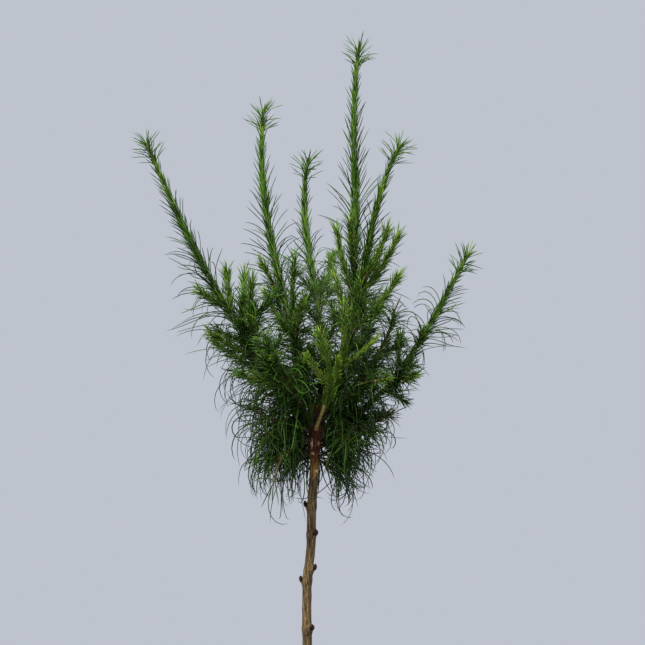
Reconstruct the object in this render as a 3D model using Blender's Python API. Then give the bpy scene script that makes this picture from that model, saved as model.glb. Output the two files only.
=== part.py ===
"""A tamarack grafted on a short bare stem, standing in a plain clay pot.

Metres, +Z up. The origin is the middle of the pot's flat underside. The front of the plant looks
towards -Y. The crown is a fan of long leading shoots with short shoots round their feet. Every
shoot is a slim core of needles pressed to the twig, with larger needles standing out of it.
"""

import math
import random
from typing import NamedTuple

import bmesh
import bpy
import numpy as np
from mathutils import Matrix, Vector

GAP = 0.0003
UP = Vector((0, 0, 1))
GOLDEN_ANGLE = math.radians(137.5)

# Pot
POT_HEIGHT = 0.165
POT_TOP_RADIUS = 0.095
POT_BASE_RADIUS = 0.062
POT_WALL = 0.007
POT_FLOOR = 0.010
POT_CHAMFER = 0.002
RIM_HEIGHT = 0.038
RIM_PROUD = 0.006
POT_SIDES = 30
DRAIN_HOLES = 3
DRAIN_RADIUS = 0.005
DRAIN_SIDES = 10
DRAIN_RING = 0.026

# Soil
SOIL_TOP = 0.150
SOIL_EDGE_DROP = 0.004
SOIL_FLAT_RADIUS = 0.030

# Stem: it leans a little, with a kink under an old bud, and swells where the crown is grafted on
STEM_FOOT = SOIL_TOP + GAP
GRAFT_HEIGHT = 0.470
HEAD_TOP = 0.489
STEM_FOOT_RADIUS = 0.0045
STEM_RADIUS = 0.0036
HEAD_RADIUS = 0.0057
HEAD_LENGTH = 0.034
HEAD_DOME = ((0.0018, 0.80), (0.0030, 0.45))
FLARE_RADIUS = 0.0050
FLARE_HEIGHT = 0.009
FLARE_LOBES = 3
FLARE_LOBE_DEPTH = 0.35
LUMP_PITCH = 0.024
LUMP_SHARE = 0.06
STEM_SIDES = 9
STEM_RINGS = 20
BEND_SPREAD = 0.006
# Height of each bend and how far to the right the middle of the stem lies there
STEM_BENDS = (
    (0.150, -0.0015),
    (0.240, 0.0022),
    (0.320, 0.0006),
    (0.348, 0.0008),
    (0.375, 0.0040),
    (0.410, 0.0046),
    (0.436, 0.0071),
    (0.489, 0.0080),
)
# Height of each bud and the way that it faces, in degrees from +X
STEM_BUDS = (
    (0.205, 120),
    (0.243, -30),
    (0.282, 200),
    (0.3115, -42),
    (0.350, 186),
    (0.3595, -14),
    (0.3875, -28),
    (0.410, 184),
)
BUD_RADIUS = 0.0022

# Shoots: a limb's bare foot is a bough, and the rest of it is the stem of a mass
FOOT_OFFSET = 0.0032
HANDLE_REACH = 0.33
LEAVE_DEPTH = 0.45
ARRIVE_DEPTH = 0.90
SIDE_ELBOW = 0.55
SIDE_ELBOW_RISE = 0.32
BOUGH_SIDES = 6
BOUGH_RINGS = 4
LEADER_SIDES = 5
LEADER_RINGS = 12
SIDE_SIDES = 3
SIDE_RINGS = 4
CORE_FOOT_RADIUS = 0.0021
CORE_RADIUS = 0.0026
SIDE_CORE_RADIUS = 0.0019
CORE_END_RADIUS = 0.0007

# Needles: larger than life and fewer, in toothed blades
NEEDLE_THICK = 0.0011
NEEDLE_RADIUS = 0.0007
NEEDLE_SINK = 0.0010
BLADE_ROOT = 0.0011
WEB_SHARE = 0.20
ELBOW_WIDTH = 0.0006
ELBOW_THIN = 0.8
ELBOW_DROOP = 0.92
ELBOW_SHARE = 0.45
ELBOW_FALL = 0.10
TIP_FALL = 0.50
TIP_PULL = 0.30
TIP_NEEDLE = 0.011
LONG_NEEDLE = 0.036
LOW_NEEDLE = 0.036
LENGTH_PER_AGE = 0.14
RIPE_AGE = 0.030
YOUNG_HEIGHT = 0.610
OLD_HEIGHT = 0.480
SHORT_SHARE = 0.6
WHORL_SPREAD = 58
LEADER_TEETH = 5
SIDE_TEETH = 4
LEADER_PITCH = 0.0178
SIDE_PITCH = 0.0190
FIRST_SPRAY = 0.006
LAST_SPRAY = 0.007
ORDER_STEP = 0.06
TUFT_ROOT = 0.0035
TUFT_ANGLES = (-52, -20, 16, 50)

# Room between one mass and the next, and between a needle and a limb
SPACE_MARGIN = 0.0024
CLEARANCE = 0.0006
STEM_STEPS = [0.29 + 0.01 * i for i in range(21)]
SEED = 13


class Side(NamedTuple):
    """A short shoot: where it leaves its leader, from foot 0 to tip 1, and where it ends."""

    share: float
    tip: tuple


class Limb(NamedTuple):
    """A leading shoot. Angles are the lean to the right from upright, seen from the front."""

    name: str
    tip: tuple
    leave: float
    arrive: float
    foot: float
    bough: float
    radius: float
    sides: tuple
    pitch: float = LEADER_PITCH
    droop: float = 0.0


LIMBS = (
    Limb("left_leader", (-0.1270, -0.020, 0.699), -45, -23, 0.478, 0.12, 0.0027, (
        Side(0.44, (-0.0845, -0.032, 0.582)),
        Side(0.40, (-0.0635, -0.006, 0.598)),
        Side(0.34, (-0.0500, 0.022, 0.596)),
        Side(0.30, (-0.0430, -0.030, 0.590)),
        Side(0.26, (-0.0750, -0.045, 0.548)),
    )),
    Limb("left_inner_leader", (-0.0348, 0.058, 0.729), -13, 6, 0.484, 0.12, 0.0026, (
        Side(0.38, (-0.0350, 0.020, 0.604)),
        Side(0.28, (-0.0335, 0.060, 0.580)),
    )),
    Limb("back_leader", (0.0016, 0.092, 0.691), 15, 11, 0.482, 0.14, 0.0025, (
        Side(0.42, (0.022, 0.108, 0.612)),
    )),
    Limb("top_leader", (0.0424, 0.012, 0.776), 30, 8, 0.486, 0.11, 0.0028, (
        Side(0.40, (0.0352, -0.018, 0.638)),
        Side(0.34, (0.0245, 0.004, 0.631)),
        Side(0.28, (0.0195, 0.034, 0.608)),
    )),
    Limb("right_inner_leader", (0.0748, -0.056, 0.696), 33, 29, 0.483, 0.13, 0.0026, (
        Side(0.50, (0.0640, -0.064, 0.629)),
        Side(0.46, (0.0730, -0.044, 0.625)),
        Side(0.32, (0.0720, -0.066, 0.592)),
    )),
    Limb("right_leader", (0.1305, 0.022, 0.611), 81, 30, 0.472, 0.16, 0.0027, (
        Side(0.56, (0.0930, -0.006, 0.548)),
        Side(0.42, (0.0760, 0.040, 0.545)),
        Side(0.40, (0.0860, -0.034, 0.514)),
        Side(0.34, (0.0820, 0.012, 0.490)),
    )),
    Limb("front_upper_shoot", (-0.0088, -0.030, 0.606), -22, 6, 0.484, 0.20, 0.0021, (
        Side(0.50, (-0.0030, -0.054, 0.571)),
    )),
    Limb("front_middle_shoot", (0.0264, -0.060, 0.567), 14, -4, 0.476, 0.20, 0.0021, (
        Side(0.48, (0.0530, -0.054, 0.541)),
        Side(0.38, (0.0120, -0.064, 0.545)),
    )),
    Limb("front_low_shoot", (0.0130, -0.092, 0.545), 12, -12, 0.470, 0.20, 0.0021, (
        Side(0.42, (-0.0088, -0.084, 0.531)),
    )),
    Limb("front_left_shoot", (-0.0335, -0.066, 0.548), -30, -20, 0.474, 0.20, 0.0021, (
        Side(0.42, (-0.0520, -0.060, 0.516)),
    )),
    Limb("front_right_shoot", (0.0700, -0.030, 0.566), 50, 8, 0.477, 0.20, 0.0021, (
        Side(0.40, (0.0640, -0.062, 0.512)),
    )),
    Limb("back_left_shoot", (-0.0480, 0.076, 0.572), -42, -6, 0.476, 0.19, 0.0022, (
        Side(0.42, (-0.0740, 0.042, 0.540)),
    )),
    Limb("back_right_shoot", (0.0560, 0.082, 0.578), 40, 8, 0.478, 0.19, 0.0022, (
        Side(0.42, (0.0780, 0.060, 0.540)),
    )),
    Limb("low_left_shoot", (-0.0460, -0.014, 0.490), -78, -52, 0.469, 0.22, 0.0020, (
        Side(0.60, (-0.0400, 0.026, 0.474)),
        Side(0.40, (-0.0340, -0.030, 0.462)),
    ), 0.0115, 1.0),
    Limb("low_right_shoot", (0.0700, -0.014, 0.484), 84, 62, 0.466, 0.22, 0.0020, (
        Side(0.60, (0.0540, 0.026, 0.468)),
        Side(0.40, (0.0340, -0.030, 0.456)),
    ), 0.0115, 1.0),
    Limb("low_front_shoot", (-0.0280, -0.026, 0.444), -66, -120, 0.462, 0.24, 0.0018, (
        Side(0.50, (-0.0150, -0.034, 0.450)),
    ), 0.0115, 1.0),
    Limb("low_back_shoot", (0.0290, 0.034, 0.444), 66, 120, 0.463, 0.24, 0.0018, (
        Side(0.50, (-0.0210, 0.040, 0.444)),
    ), 0.0115, 1.0),
)


def clear_scene():
    """Start from an empty scene."""
    for obj in list(bpy.data.objects):
        bpy.data.objects.remove(obj)


def material(name, colour, roughness):
    """A plain non-metal finish."""
    finish = bpy.data.materials.new(name)
    finish.use_nodes = True
    shader = finish.node_tree.nodes["Principled BSDF"]
    shader.inputs["Base Color"].default_value = (*colour, 1)
    shader.inputs["Roughness"].default_value = roughness
    shader.inputs["Metallic"].default_value = 0
    return finish


def clay():
    """Dry terracotta."""
    return material("clay", (0.52, 0.20, 0.10), 0.85)


def compost():
    """Dark potting compost."""
    return material("compost", (0.045, 0.028, 0.018), 0.95)


def bark():
    """Grey-brown bark."""
    return material("bark", (0.16, 0.10, 0.065), 0.8)


def needle_green():
    """Deep green needles."""
    return material("needle_green", (0.06, 0.15, 0.035), 0.6)


def mesh_object(name, mesh, finish=None):
    """Put a mesh in the scene as an object."""
    obj = bpy.data.objects.new(name, mesh)
    bpy.context.scene.collection.objects.link(obj)
    if finish:
        mesh.materials.append(finish)
    return obj


def mesh_from(bm, name):
    """Turn a bmesh into a mesh with its faces pointing outwards."""
    bmesh.ops.recalc_face_normals(bm, faces=bm.faces)
    mesh = bpy.data.meshes.new(name)
    bm.to_mesh(mesh)
    bm.free()
    return mesh


def apply_boolean(obj, operation, solver, cutter=None, collection=None):
    """Run one Boolean on an object and keep its result as the object's mesh."""
    modifier = obj.modifiers.new(operation.lower(), "BOOLEAN")
    modifier.operation = operation
    modifier.solver = solver
    if collection:
        modifier.operand_type = "COLLECTION"
        modifier.collection = collection
    else:
        modifier.object = cutter
    graph = bpy.context.evaluated_depsgraph_get()
    result = bpy.data.meshes.new_from_object(obj.evaluated_get(graph))
    obj.modifiers.remove(modifier)
    spare = obj.data
    obj.data = result
    bpy.data.meshes.remove(spare)


def turned_mesh(name, profile, sides):
    """Turn a closed profile of (radius, height) points round the Z axis."""
    bm = bmesh.new()
    points = [bm.verts.new((radius, 0, height)) for radius, height in profile]
    edges = [bm.edges.new(pair) for pair in zip(points, points[1:])]
    bmesh.ops.spin(bm, geom=points + edges, cent=(0, 0, 0), axis=UP, angle=math.tau, steps=sides)
    bmesh.ops.remove_doubles(bm, verts=bm.verts, dist=1e-6)
    return mesh_from(bm, name)


def frame_of(direction):
    """Two unit vectors at right angles to a direction and to each other."""
    side = direction.cross(UP)
    if side.length < 0.05:
        side = direction.cross(Vector((0, 1, 0)))
    side.normalize()
    return side, side.cross(direction).normalized()


def ring_points(centre, side, top, radii):
    """A ring of points round a centre, one for each radius."""
    step = math.tau / len(radii)
    return [
        centre + (side * math.cos(i * step) + top * math.sin(i * step)) * radius
        for i, radius in enumerate(radii)
    ]


def loft_rings(bm, rings):
    """Join rings of points one to the next and close both ends. A ring of one point is a tip."""
    rows = [[bm.verts.new(point) for point in ring] for ring in rings]
    for low, high in zip(rows, rows[1:]):
        count = len(low)
        for i in range(count):
            if len(high) == 1:
                bm.faces.new((low[i], low[(i + 1) % count], high[0]))
            else:
                bm.faces.new((low[i], low[(i + 1) % count], high[(i + 1) % count], high[i]))
    bm.faces.new(rows[0])
    if len(rows[-1]) > 1:
        bm.faces.new(rows[-1])


def tube_mesh(name, centres, radii, sides, pointed):
    """A tapering tube along a line of points, with a flat foot and a flat or pointed end."""
    side = frame_of((centres[1] - centres[0]).normalized())[0]
    rings = []
    for i, centre in enumerate(centres):
        before = centres[max(i - 1, 0)]
        after = centres[min(i + 1, len(centres) - 1)]
        direction = (after - before).normalized()
        side = (side - direction * side.dot(direction)).normalized()
        rings.append(ring_points(centre, side, side.cross(direction), [radii[i]] * sides))
    if pointed:
        rings[-1] = [centres[-1]]
    bm = bmesh.new()
    loft_rings(bm, rings)
    return mesh_from(bm, name)


def pot_outline():
    """The pot's wall as a closed profile, from the middle of the underside round to the floor."""
    rim_foot = POT_HEIGHT - RIM_HEIGHT
    slope = (POT_TOP_RADIUS - RIM_PROUD - POT_BASE_RADIUS) / POT_HEIGHT
    body_radius = POT_BASE_RADIUS + slope * rim_foot
    inner_top = POT_TOP_RADIUS - RIM_PROUD - POT_WALL
    inner_foot = POT_BASE_RADIUS + slope * POT_FLOOR - POT_WALL
    return [
        (0, 0),
        (POT_BASE_RADIUS - POT_CHAMFER, 0),
        (POT_BASE_RADIUS, POT_CHAMFER),
        (body_radius, rim_foot),
        (body_radius + RIM_PROUD, rim_foot + POT_CHAMFER),
        (POT_TOP_RADIUS, POT_HEIGHT - POT_CHAMFER),
        (POT_TOP_RADIUS - POT_CHAMFER, POT_HEIGHT),
        (inner_top + POT_CHAMFER, POT_HEIGHT),
        (inner_top, POT_HEIGHT - POT_CHAMFER),
        (inner_foot, POT_FLOOR),
        (0, POT_FLOOR),
    ]


def inner_radius(height):
    """The radius of the pot's inside at a height."""
    (top_radius, top), (foot_radius, foot) = pot_outline()[-3:-1]
    return foot_radius + (top_radius - foot_radius) * (height - foot) / (top - foot)


def drain_cutter():
    """Three short rods where the pot's floor is pierced."""
    bm = bmesh.new()
    for i in range(DRAIN_HOLES):
        angle = math.tau * i / DRAIN_HOLES + math.radians(30)
        place = Vector((DRAIN_RING * math.cos(angle), DRAIN_RING * math.sin(angle), POT_FLOOR / 2))
        bmesh.ops.create_cone(
            bm,
            cap_ends=True,
            segments=DRAIN_SIDES,
            radius1=DRAIN_RADIUS,
            radius2=DRAIN_RADIUS,
            depth=2 * POT_FLOOR,
            matrix=Matrix.Translation(place),
        )
    return mesh_object("drain_cutter", mesh_from(bm, "drain_cutter"))


def build_pot():
    """The clay pot, with a deep rim and three drain holes."""
    pot = mesh_object("pot", turned_mesh("pot", pot_outline(), POT_SIDES), clay())
    cutter = drain_cutter()
    apply_boolean(pot, "DIFFERENCE", "EXACT", cutter=cutter)
    bpy.data.objects.remove(cutter)
    pot.data.shade_smooth()
    pot.data.set_sharp_from_angle(angle=math.radians(30))


def build_soil():
    """The compost, level in the middle and a little lower along the wall."""
    foot = POT_FLOOR + GAP
    edge = SOIL_TOP - SOIL_EDGE_DROP
    profile = [
        (0, foot),
        (inner_radius(foot) - GAP, foot),
        (inner_radius(edge) - GAP, edge),
        ((inner_radius(edge) + SOIL_FLAT_RADIUS) / 2, SOIL_TOP - SOIL_EDGE_DROP / 4),
        (SOIL_FLAT_RADIUS, SOIL_TOP),
        (0, SOIL_TOP),
    ]
    soil = mesh_object("soil", turned_mesh("soil", profile, POT_SIDES), compost())
    soil.data.shade_smooth()
    soil.data.set_sharp_from_angle(angle=math.radians(30))


def stem_centre(height):
    """The middle of the stem at a height, on a smooth line through its bends."""
    heights = [bend[0] for bend in STEM_BENDS]
    offsets = [bend[1] for bend in STEM_BENDS]
    samples = [height - BEND_SPREAD, height, height + BEND_SPREAD]
    across = float(np.mean(np.interp(samples, heights, offsets)))
    return Vector((across, 0, height))


def stem_radius(height, angle=0.0):
    """The stem's radius: flared and lobed at the soil, even above, swollen at the graft."""
    rise = (height - STEM_FOOT) / (GRAFT_HEIGHT - STEM_FOOT)
    radius = STEM_FOOT_RADIUS + (STEM_RADIUS - STEM_FOOT_RADIUS) * min(rise * 1.6, 1)
    flare = math.exp(-(height - STEM_FOOT) / FLARE_HEIGHT)
    lobes = 1 + FLARE_LOBE_DEPTH * (math.cos(FLARE_LOBES * angle + 0.7) - 1)
    radius += FLARE_RADIUS * flare * lobes
    above = max(0.0, min(1.0, (height - (HEAD_TOP - HEAD_LENGTH)) / (HEAD_LENGTH * 0.45)))
    radius += (HEAD_RADIUS - STEM_RADIUS) * above * above * (3 - 2 * above)
    return radius * (1 + LUMP_SHARE * math.sin(math.tau * height / LUMP_PITCH) * math.cos(angle))


def stem_rings(extra):
    """Rings of the stem from the flat cut at the soil to the rounded head of the graft."""
    rings = []
    angles = [math.tau * i / STEM_SIDES for i in range(STEM_SIDES)]
    for i in range(STEM_RINGS):
        height = STEM_FOOT + (HEAD_TOP - STEM_FOOT) * (i / (STEM_RINGS - 1)) ** 0.9
        radii = [stem_radius(height, angle) + extra for angle in angles]
        rings.append(ring_points(stem_centre(height), Vector((1, 0, 0)), Vector((0, 1, 0)), radii))
    for rise, share in HEAD_DOME:
        radii = [(stem_radius(HEAD_TOP, angle) + extra) * share for angle in angles]
        centre = stem_centre(HEAD_TOP) + UP * (rise + extra)
        rings.append(ring_points(centre, Vector((1, 0, 0)), Vector((0, 1, 0)), radii))
    return rings


def stem_object(name, extra=0.0, finish=None):
    """The stem as an object, grown outwards by extra."""
    bm = bmesh.new()
    loft_rings(bm, stem_rings(extra))
    return mesh_object(name, mesh_from(bm, name), finish)


def bud_object(height, facing):
    """An old bud: a small knob that stands out of the stem and points upwards."""
    angle = math.radians(facing)
    out = Vector((math.cos(angle), math.sin(angle), 0))
    place = stem_centre(height) + out * (stem_radius(height, angle) * 0.85)
    bm = bmesh.new()
    bmesh.ops.create_icosphere(bm, subdivisions=1, radius=BUD_RADIUS)
    for vert in bm.verts:
        vert.co.z *= 1.5
        vert.co += out * (max(vert.co.z, 0) * 0.35) + place
    return mesh_object("bud", mesh_from(bm, "bud"))


def gather(name, objects):
    """Move objects into a new collection of their own."""
    group = bpy.data.collections.new(name)
    bpy.context.scene.collection.children.link(group)
    for obj in objects:
        bpy.context.scene.collection.objects.unlink(obj)
        group.objects.link(obj)
    return group


def discard(group):
    """Remove a collection and everything in it."""
    for obj in list(group.objects):
        bpy.data.meshes.remove(obj.data)
    bpy.data.collections.remove(group)


def build_trunk():
    """The bare stem: root flare, buds and the knob of the graft, in one piece."""
    trunk = stem_object("trunk", finish=bark())
    buds = gather("buds", [bud_object(height, facing) for height, facing in STEM_BUDS])
    apply_boolean(trunk, "UNION", "EXACT", collection=buds)
    discard(buds)
    trunk.data.shade_smooth()
    trunk.data.set_sharp_from_angle(angle=math.radians(40))


def limb_handles(limb):
    """The four points of the curve that a leading shoot follows from the graft to its tip."""
    tip = Vector(limb.tip)
    middle = stem_centre(limb.foot)
    outward = Vector((tip.x - middle.x, tip.y, 0)).normalized()
    foot = middle + outward * FOOT_OFFSET
    reach = HANDLE_REACH * (tip - foot).length
    leave = math.radians(limb.leave)
    arrive = math.radians(limb.arrive)
    first = foot + reach * Vector((math.sin(leave), 0, math.cos(leave)))
    last = tip - reach * Vector((math.sin(arrive), 0, math.cos(arrive)))
    first.y = foot.y + LEAVE_DEPTH * tip.y
    last.y = ARRIVE_DEPTH * tip.y
    return foot, first, last, tip


def limb_point(limb, share):
    """A point on a leading shoot, from its foot at 0 to its tip at 1."""
    foot, first, last, tip = limb_handles(limb)
    rest = 1 - share
    blend = (rest**3, 3 * rest * rest * share, 3 * rest * share * share, share**3)
    return foot * blend[0] + first * blend[1] + last * blend[2] + tip * blend[3]


def side_point(limb, side, share):
    """A point on a short shoot, which leaves sideways and then turns up."""
    foot = limb_point(limb, side.share)
    tip = Vector(side.tip)
    elbow = foot.lerp(tip, SIDE_ELBOW)
    elbow.z = foot.z + SIDE_ELBOW_RISE * (tip.z - foot.z)
    rest = 1 - share
    return foot * rest * rest + elbow * 2 * rest * share + tip * share * share


def limb_length(limb):
    """The length of a leading shoot along its curve."""
    points = [limb_point(limb, i / 12) for i in range(13)]
    return sum((b - a).length for a, b in zip(points, points[1:]))


def bough_radius(limb, share):
    """The radius of a leading shoot's bare foot, which tapers into its mass."""
    return limb.radius + (CORE_FOOT_RADIUS - limb.radius) * share / limb.bough


class Twig(NamedTuple):
    """One needle-bearing stem of a mass: its middle line and its radii."""

    centres: list
    radii: list
    pitch: float


def leader_twig(limb):
    """The part of a leading shoot that carries needles."""
    start = limb.bough + GAP / limb_length(limb)
    shares = [start + (1 - start) * i / (LEADER_RINGS - 1) for i in range(LEADER_RINGS)]
    centres = [limb_point(limb, share) for share in shares]
    radii = []
    for share in shares:
        full = CORE_FOOT_RADIUS + (CORE_RADIUS - CORE_FOOT_RADIUS) * min((share - start) * 8, 1)
        taper = max(0.0, (share - 0.7) / 0.3)
        radii.append(full + (CORE_END_RADIUS - full) * taper**2)
    return Twig(centres, radii, limb.pitch)


def side_twig(limb, side):
    """A short shoot, rooted in its leader."""
    shares = [i / (SIDE_RINGS - 1) for i in range(SIDE_RINGS)]
    centres = [side_point(limb, side, share) for share in shares]
    radii = [SIDE_CORE_RADIUS + (CORE_END_RADIUS - SIDE_CORE_RADIUS) * share**2 for share in shares]
    return Twig(centres, radii, SIDE_PITCH)


def twigs_of(limb):
    """Every needle-bearing stem of one mass, its leader first."""
    return [leader_twig(limb)] + [side_twig(limb, side) for side in limb.sides]


class Segments(NamedTuple):
    """Straight pieces of stem: their ends, their radii and the mass that each belongs to."""

    starts: np.ndarray
    ends: np.ndarray
    radii: np.ndarray
    owners: np.ndarray


def bough_line(limb):
    """The middle line of a bough and its radii."""
    shares = [limb.bough * i / (BOUGH_RINGS - 1) for i in range(BOUGH_RINGS)]
    return [limb_point(limb, share) for share in shares], [bough_radius(limb, share) for share in shares]


def plant_segments():
    """All stems as straight pieces. A bough or the trunk belongs to no mass and has owner -1."""
    rows = []
    for index, limb in enumerate(LIMBS):
        lines = [(twig.centres, twig.radii, index) for twig in twigs_of(limb)]
        lines.append((*bough_line(limb), -1))
        for centres, radii, owner in lines:
            for i in range(len(centres) - 1):
                rows.append((centres[i], centres[i + 1], max(radii[i], radii[i + 1]), owner))
    for low, high in zip(STEM_STEPS, STEM_STEPS[1:]):
        radius = max(stem_radius(low), stem_radius(high)) + BUD_RADIUS * 0.4
        rows.append((stem_centre(low), stem_centre(high), radius, -1))
    return Segments(
        np.array([tuple(row[0]) for row in rows]),
        np.array([tuple(row[1]) for row in rows]),
        np.array([row[2] for row in rows]),
        np.array([row[3] for row in rows]),
    )


def surface_distances(points, segments):
    """How far each point lies from the surface of each straight piece."""
    spots = np.array([tuple(point) for point in points])[:, None, :]
    along = segments.ends - segments.starts
    share = ((spots - segments.starts) * along).sum(-1) / (along * along).sum(-1)
    nearest = segments.starts + np.clip(share, 0, 1)[..., None] * along
    return np.linalg.norm(spots - nearest, axis=-1) - segments.radii


def spots_along(line, shares):
    """Points at the given shares of each straight piece of a line."""
    return [low.lerp(high, share) for low, high in zip(line, line[1:]) for share in shares]


def has_room(line, owner, segments):
    """Whether a needle stays in its own mass's space and clear of every limb."""
    distances = surface_distances(spots_along(line, (0.15, 0.4, 0.7, 1.0)), segments)
    own = segments.owners == owner
    other = (segments.owners >= 0) & ~own
    mine = np.maximum(distances[:, own].min(axis=1), 0)
    if (distances[:, ~own].min(axis=1) < NEEDLE_RADIUS + CLEARANCE).any():
        return False
    return not (distances[:, other].min(axis=1) < mine + SPACE_MARGIN).any()


def crosses(line, taken):
    """Whether a needle would run through one that is already in place. Roots may meet."""
    if not taken:
        return False
    starts = np.array([tuple(low) for low, _ in taken])
    ends = np.array([tuple(high) for _, high in taken])
    radii = np.full(len(taken), NEEDLE_RADIUS)
    distances = surface_distances(
        spots_along(line, (0.35, 0.7, 1.0)), Segments(starts, ends, radii, radii)
    )
    return bool((distances < NEEDLE_RADIUS * 1.1).any())


def lowness(height):
    """How far down the crown a height lies, from 0 among the young tips to 1 at the graft."""
    return max(0.0, min(1.0, (YOUNG_HEIGHT - height) / (YOUNG_HEIGHT - OLD_HEIGHT)))


def needle_length(age, height, droop):
    """The length of a needle by its distance below the shoot's tip and its height."""
    ripe = min(1.0, age / RIPE_AGE)
    grown = min(TIP_NEEDLE + LENGTH_PER_AGE * age, LONG_NEEDLE)
    return grown + LOW_NEEDLE * lowness(height) * ripe * (1 + 0.35 * droop)


def needle_line(root, direction, length, droop):
    """A needle's middle line. One that droops much has an elbow in it."""
    tip = root + direction * length - UP * (TIP_FALL * droop * length)
    if droop < ELBOW_DROOP:
        return [root, tip]
    elbow = root + direction * (ELBOW_SHARE * length) - UP * (ELBOW_FALL * droop * length)
    flat = Vector((direction.x, direction.y, 0))
    return [root, elbow, tip - flat * (TIP_PULL * droop * length)]


def add_tooth(bm, low, high, line, normal):
    """One tooth of a blade, from the two pairs of points at its root to its tip."""
    tip = bm.verts.new(line[-1])
    if len(line) > 2:
        heading = (line[-1] - line[0]).normalized()
        across = heading.cross(normal).normalized() * ELBOW_WIDTH
        if across.dot(high[0].co - low[0].co) < 0:
            across.negate()
        thin = normal * ELBOW_THIN
        elbows = [
            [bm.verts.new(place + thin), bm.verts.new(place - thin)]
            for place in (line[1] - across, line[1] + across)
        ]
        bm.faces.new((low[0], elbows[0][0], elbows[1][0], high[0]))
        bm.faces.new((high[1], elbows[1][1], elbows[0][1], low[1]))
        bm.faces.new((low[1], elbows[0][1], elbows[0][0], low[0]))
        bm.faces.new((high[0], elbows[1][0], elbows[1][1], high[1]))
        low, high = elbows
    bm.faces.new((low[0], tip, high[0]))
    bm.faces.new((high[1], tip, low[1]))
    bm.faces.new((low[1], tip, low[0]))
    bm.faces.new((high[0], tip, high[1]))


def spray_object(along, lines):
    """A spray: a thin blade rooted in the stem, with a tooth for each needle.

    along is the way from the first tooth to the last at their common root.
    """
    root = lines[0][0]
    headings = [(line[1] - root).normalized() for line in lines]
    normal = along.cross(sum(headings, Vector())).normalized() * (NEEDLE_THICK / 2)
    roots = [root - along * BLADE_ROOT]
    for i in range(len(lines) - 1):
        reach = WEB_SHARE * min((lines[i][-1] - root).length, (lines[i + 1][-1] - root).length)
        roots.append(root + (headings[i] + headings[i + 1]).normalized() * reach)
    roots.append(root + along * BLADE_ROOT)
    bm = bmesh.new()
    pairs = [(bm.verts.new(place + normal), bm.verts.new(place - normal)) for place in roots]
    for low, high, line in zip(pairs, pairs[1:], lines):
        add_tooth(bm, low, high, line, normal)
    if len(lines) > 1:
        bm.faces.new([pair[0] for pair in reversed(pairs)])
        bm.faces.new([pair[1] for pair in pairs])
    bm.faces.new((pairs[0][0], pairs[-1][0], pairs[-1][1], pairs[0][1]))
    return mesh_object("spray", mesh_from(bm, "spray"))


def spray_spots(twig):
    """Yield where sprays stand on a stem: place, direction, distance to the tip and radius."""
    lengths = [(b - a).length for a, b in zip(twig.centres, twig.centres[1:])]
    total = sum(lengths)
    along = FIRST_SPRAY
    while along < total - LAST_SPRAY:
        rest = along
        piece = 0
        while rest > lengths[piece]:
            rest -= lengths[piece]
            piece += 1
        low, high = twig.centres[piece], twig.centres[piece + 1]
        share = rest / lengths[piece]
        radius = twig.radii[piece] + (twig.radii[piece + 1] - twig.radii[piece]) * share
        yield low.lerp(high, share), (high - low).normalized(), total - along, radius
        along += twig.pitch * (1 - 0.25 * lowness(low.z))


def needle_ways(heading, out, low, teeth, whorled, rng):
    """The way along a spray's root, and its needles' directions: up the stem, or round it."""
    widest = math.radians(42 + 32 * low + rng.uniform(-5, 5))
    narrowest = math.radians(14 + 12 * low)
    if not whorled:
        leans = [widest + (narrowest - widest) * i / (teeth - 1) for i in range(teeth)]
        return heading, [heading * math.cos(lean) + out * math.sin(lean) for lean in leans]
    around = out.cross(heading)
    lean = 0.65 * widest + 0.35 * narrowest
    turns = [math.radians(WHORL_SPREAD) * (2 * i / (teeth - 1) - 1) for i in range(teeth)]
    sides = [out * math.cos(turn) + around * math.sin(turn) for turn in turns]
    return around, [heading * math.cos(lean) + side * math.sin(lean) for side in sides]


def in_order(along, lines):
    """Leave out a needle whose tip would swing across the one before it."""
    kept = lines[:1]
    for line in lines[1:]:
        step = (line[-1] - line[0]).normalized() - (kept[-1][-1] - kept[-1][0]).normalized()
        if step.dot(along) > ORDER_STEP:
            kept.append(line)
    return kept


def stem_sprays(twig, teeth, limb, rng):
    """Yield the sprays along one stem: the way along the root, and each needle's line."""
    turn = rng.uniform(0, math.tau)
    whorled = False
    for place, heading, age, stem in spray_spots(twig):
        turn += GOLDEN_ANGLE + rng.uniform(-0.3, 0.3)
        whorled = not whorled
        side, top = frame_of(heading)
        out = side * math.cos(turn) + top * math.sin(turn)
        low = lowness(place.z)
        length = needle_length(age, place.z, limb.droop)
        root = place + out * max(stem - NEEDLE_SINK, 0)
        along, ways = needle_ways(heading, out, low, teeth, whorled, rng)
        droop = (0.05 + 0.65 * low + 0.4 * limb.droop) * rng.uniform(0.7, 1.2)
        lines = [needle_line(root, way, length * rng.uniform(0.85, 1.1), droop) for way in ways]
        yield along, in_order(along, lines)


def tuft_sprays(twig, rng):
    """Yield the spray of short needles that makes the star at a shoot's tip."""
    tip = twig.centres[-1]
    heading = (tip - twig.centres[-2]).normalized()
    side, top = frame_of(heading)
    turn = rng.uniform(0, math.pi)
    out = side * math.cos(turn) + top * math.sin(turn)
    root = tip - heading * TUFT_ROOT
    lines = []
    for angle in TUFT_ANGLES:
        lean = math.radians(angle + rng.uniform(-5, 5))
        direction = heading * math.cos(lean) + out * math.sin(lean)
        lines.append([root, root + direction * TIP_NEEDLE * rng.uniform(0.95, 1.25)])
    yield out, lines


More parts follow.
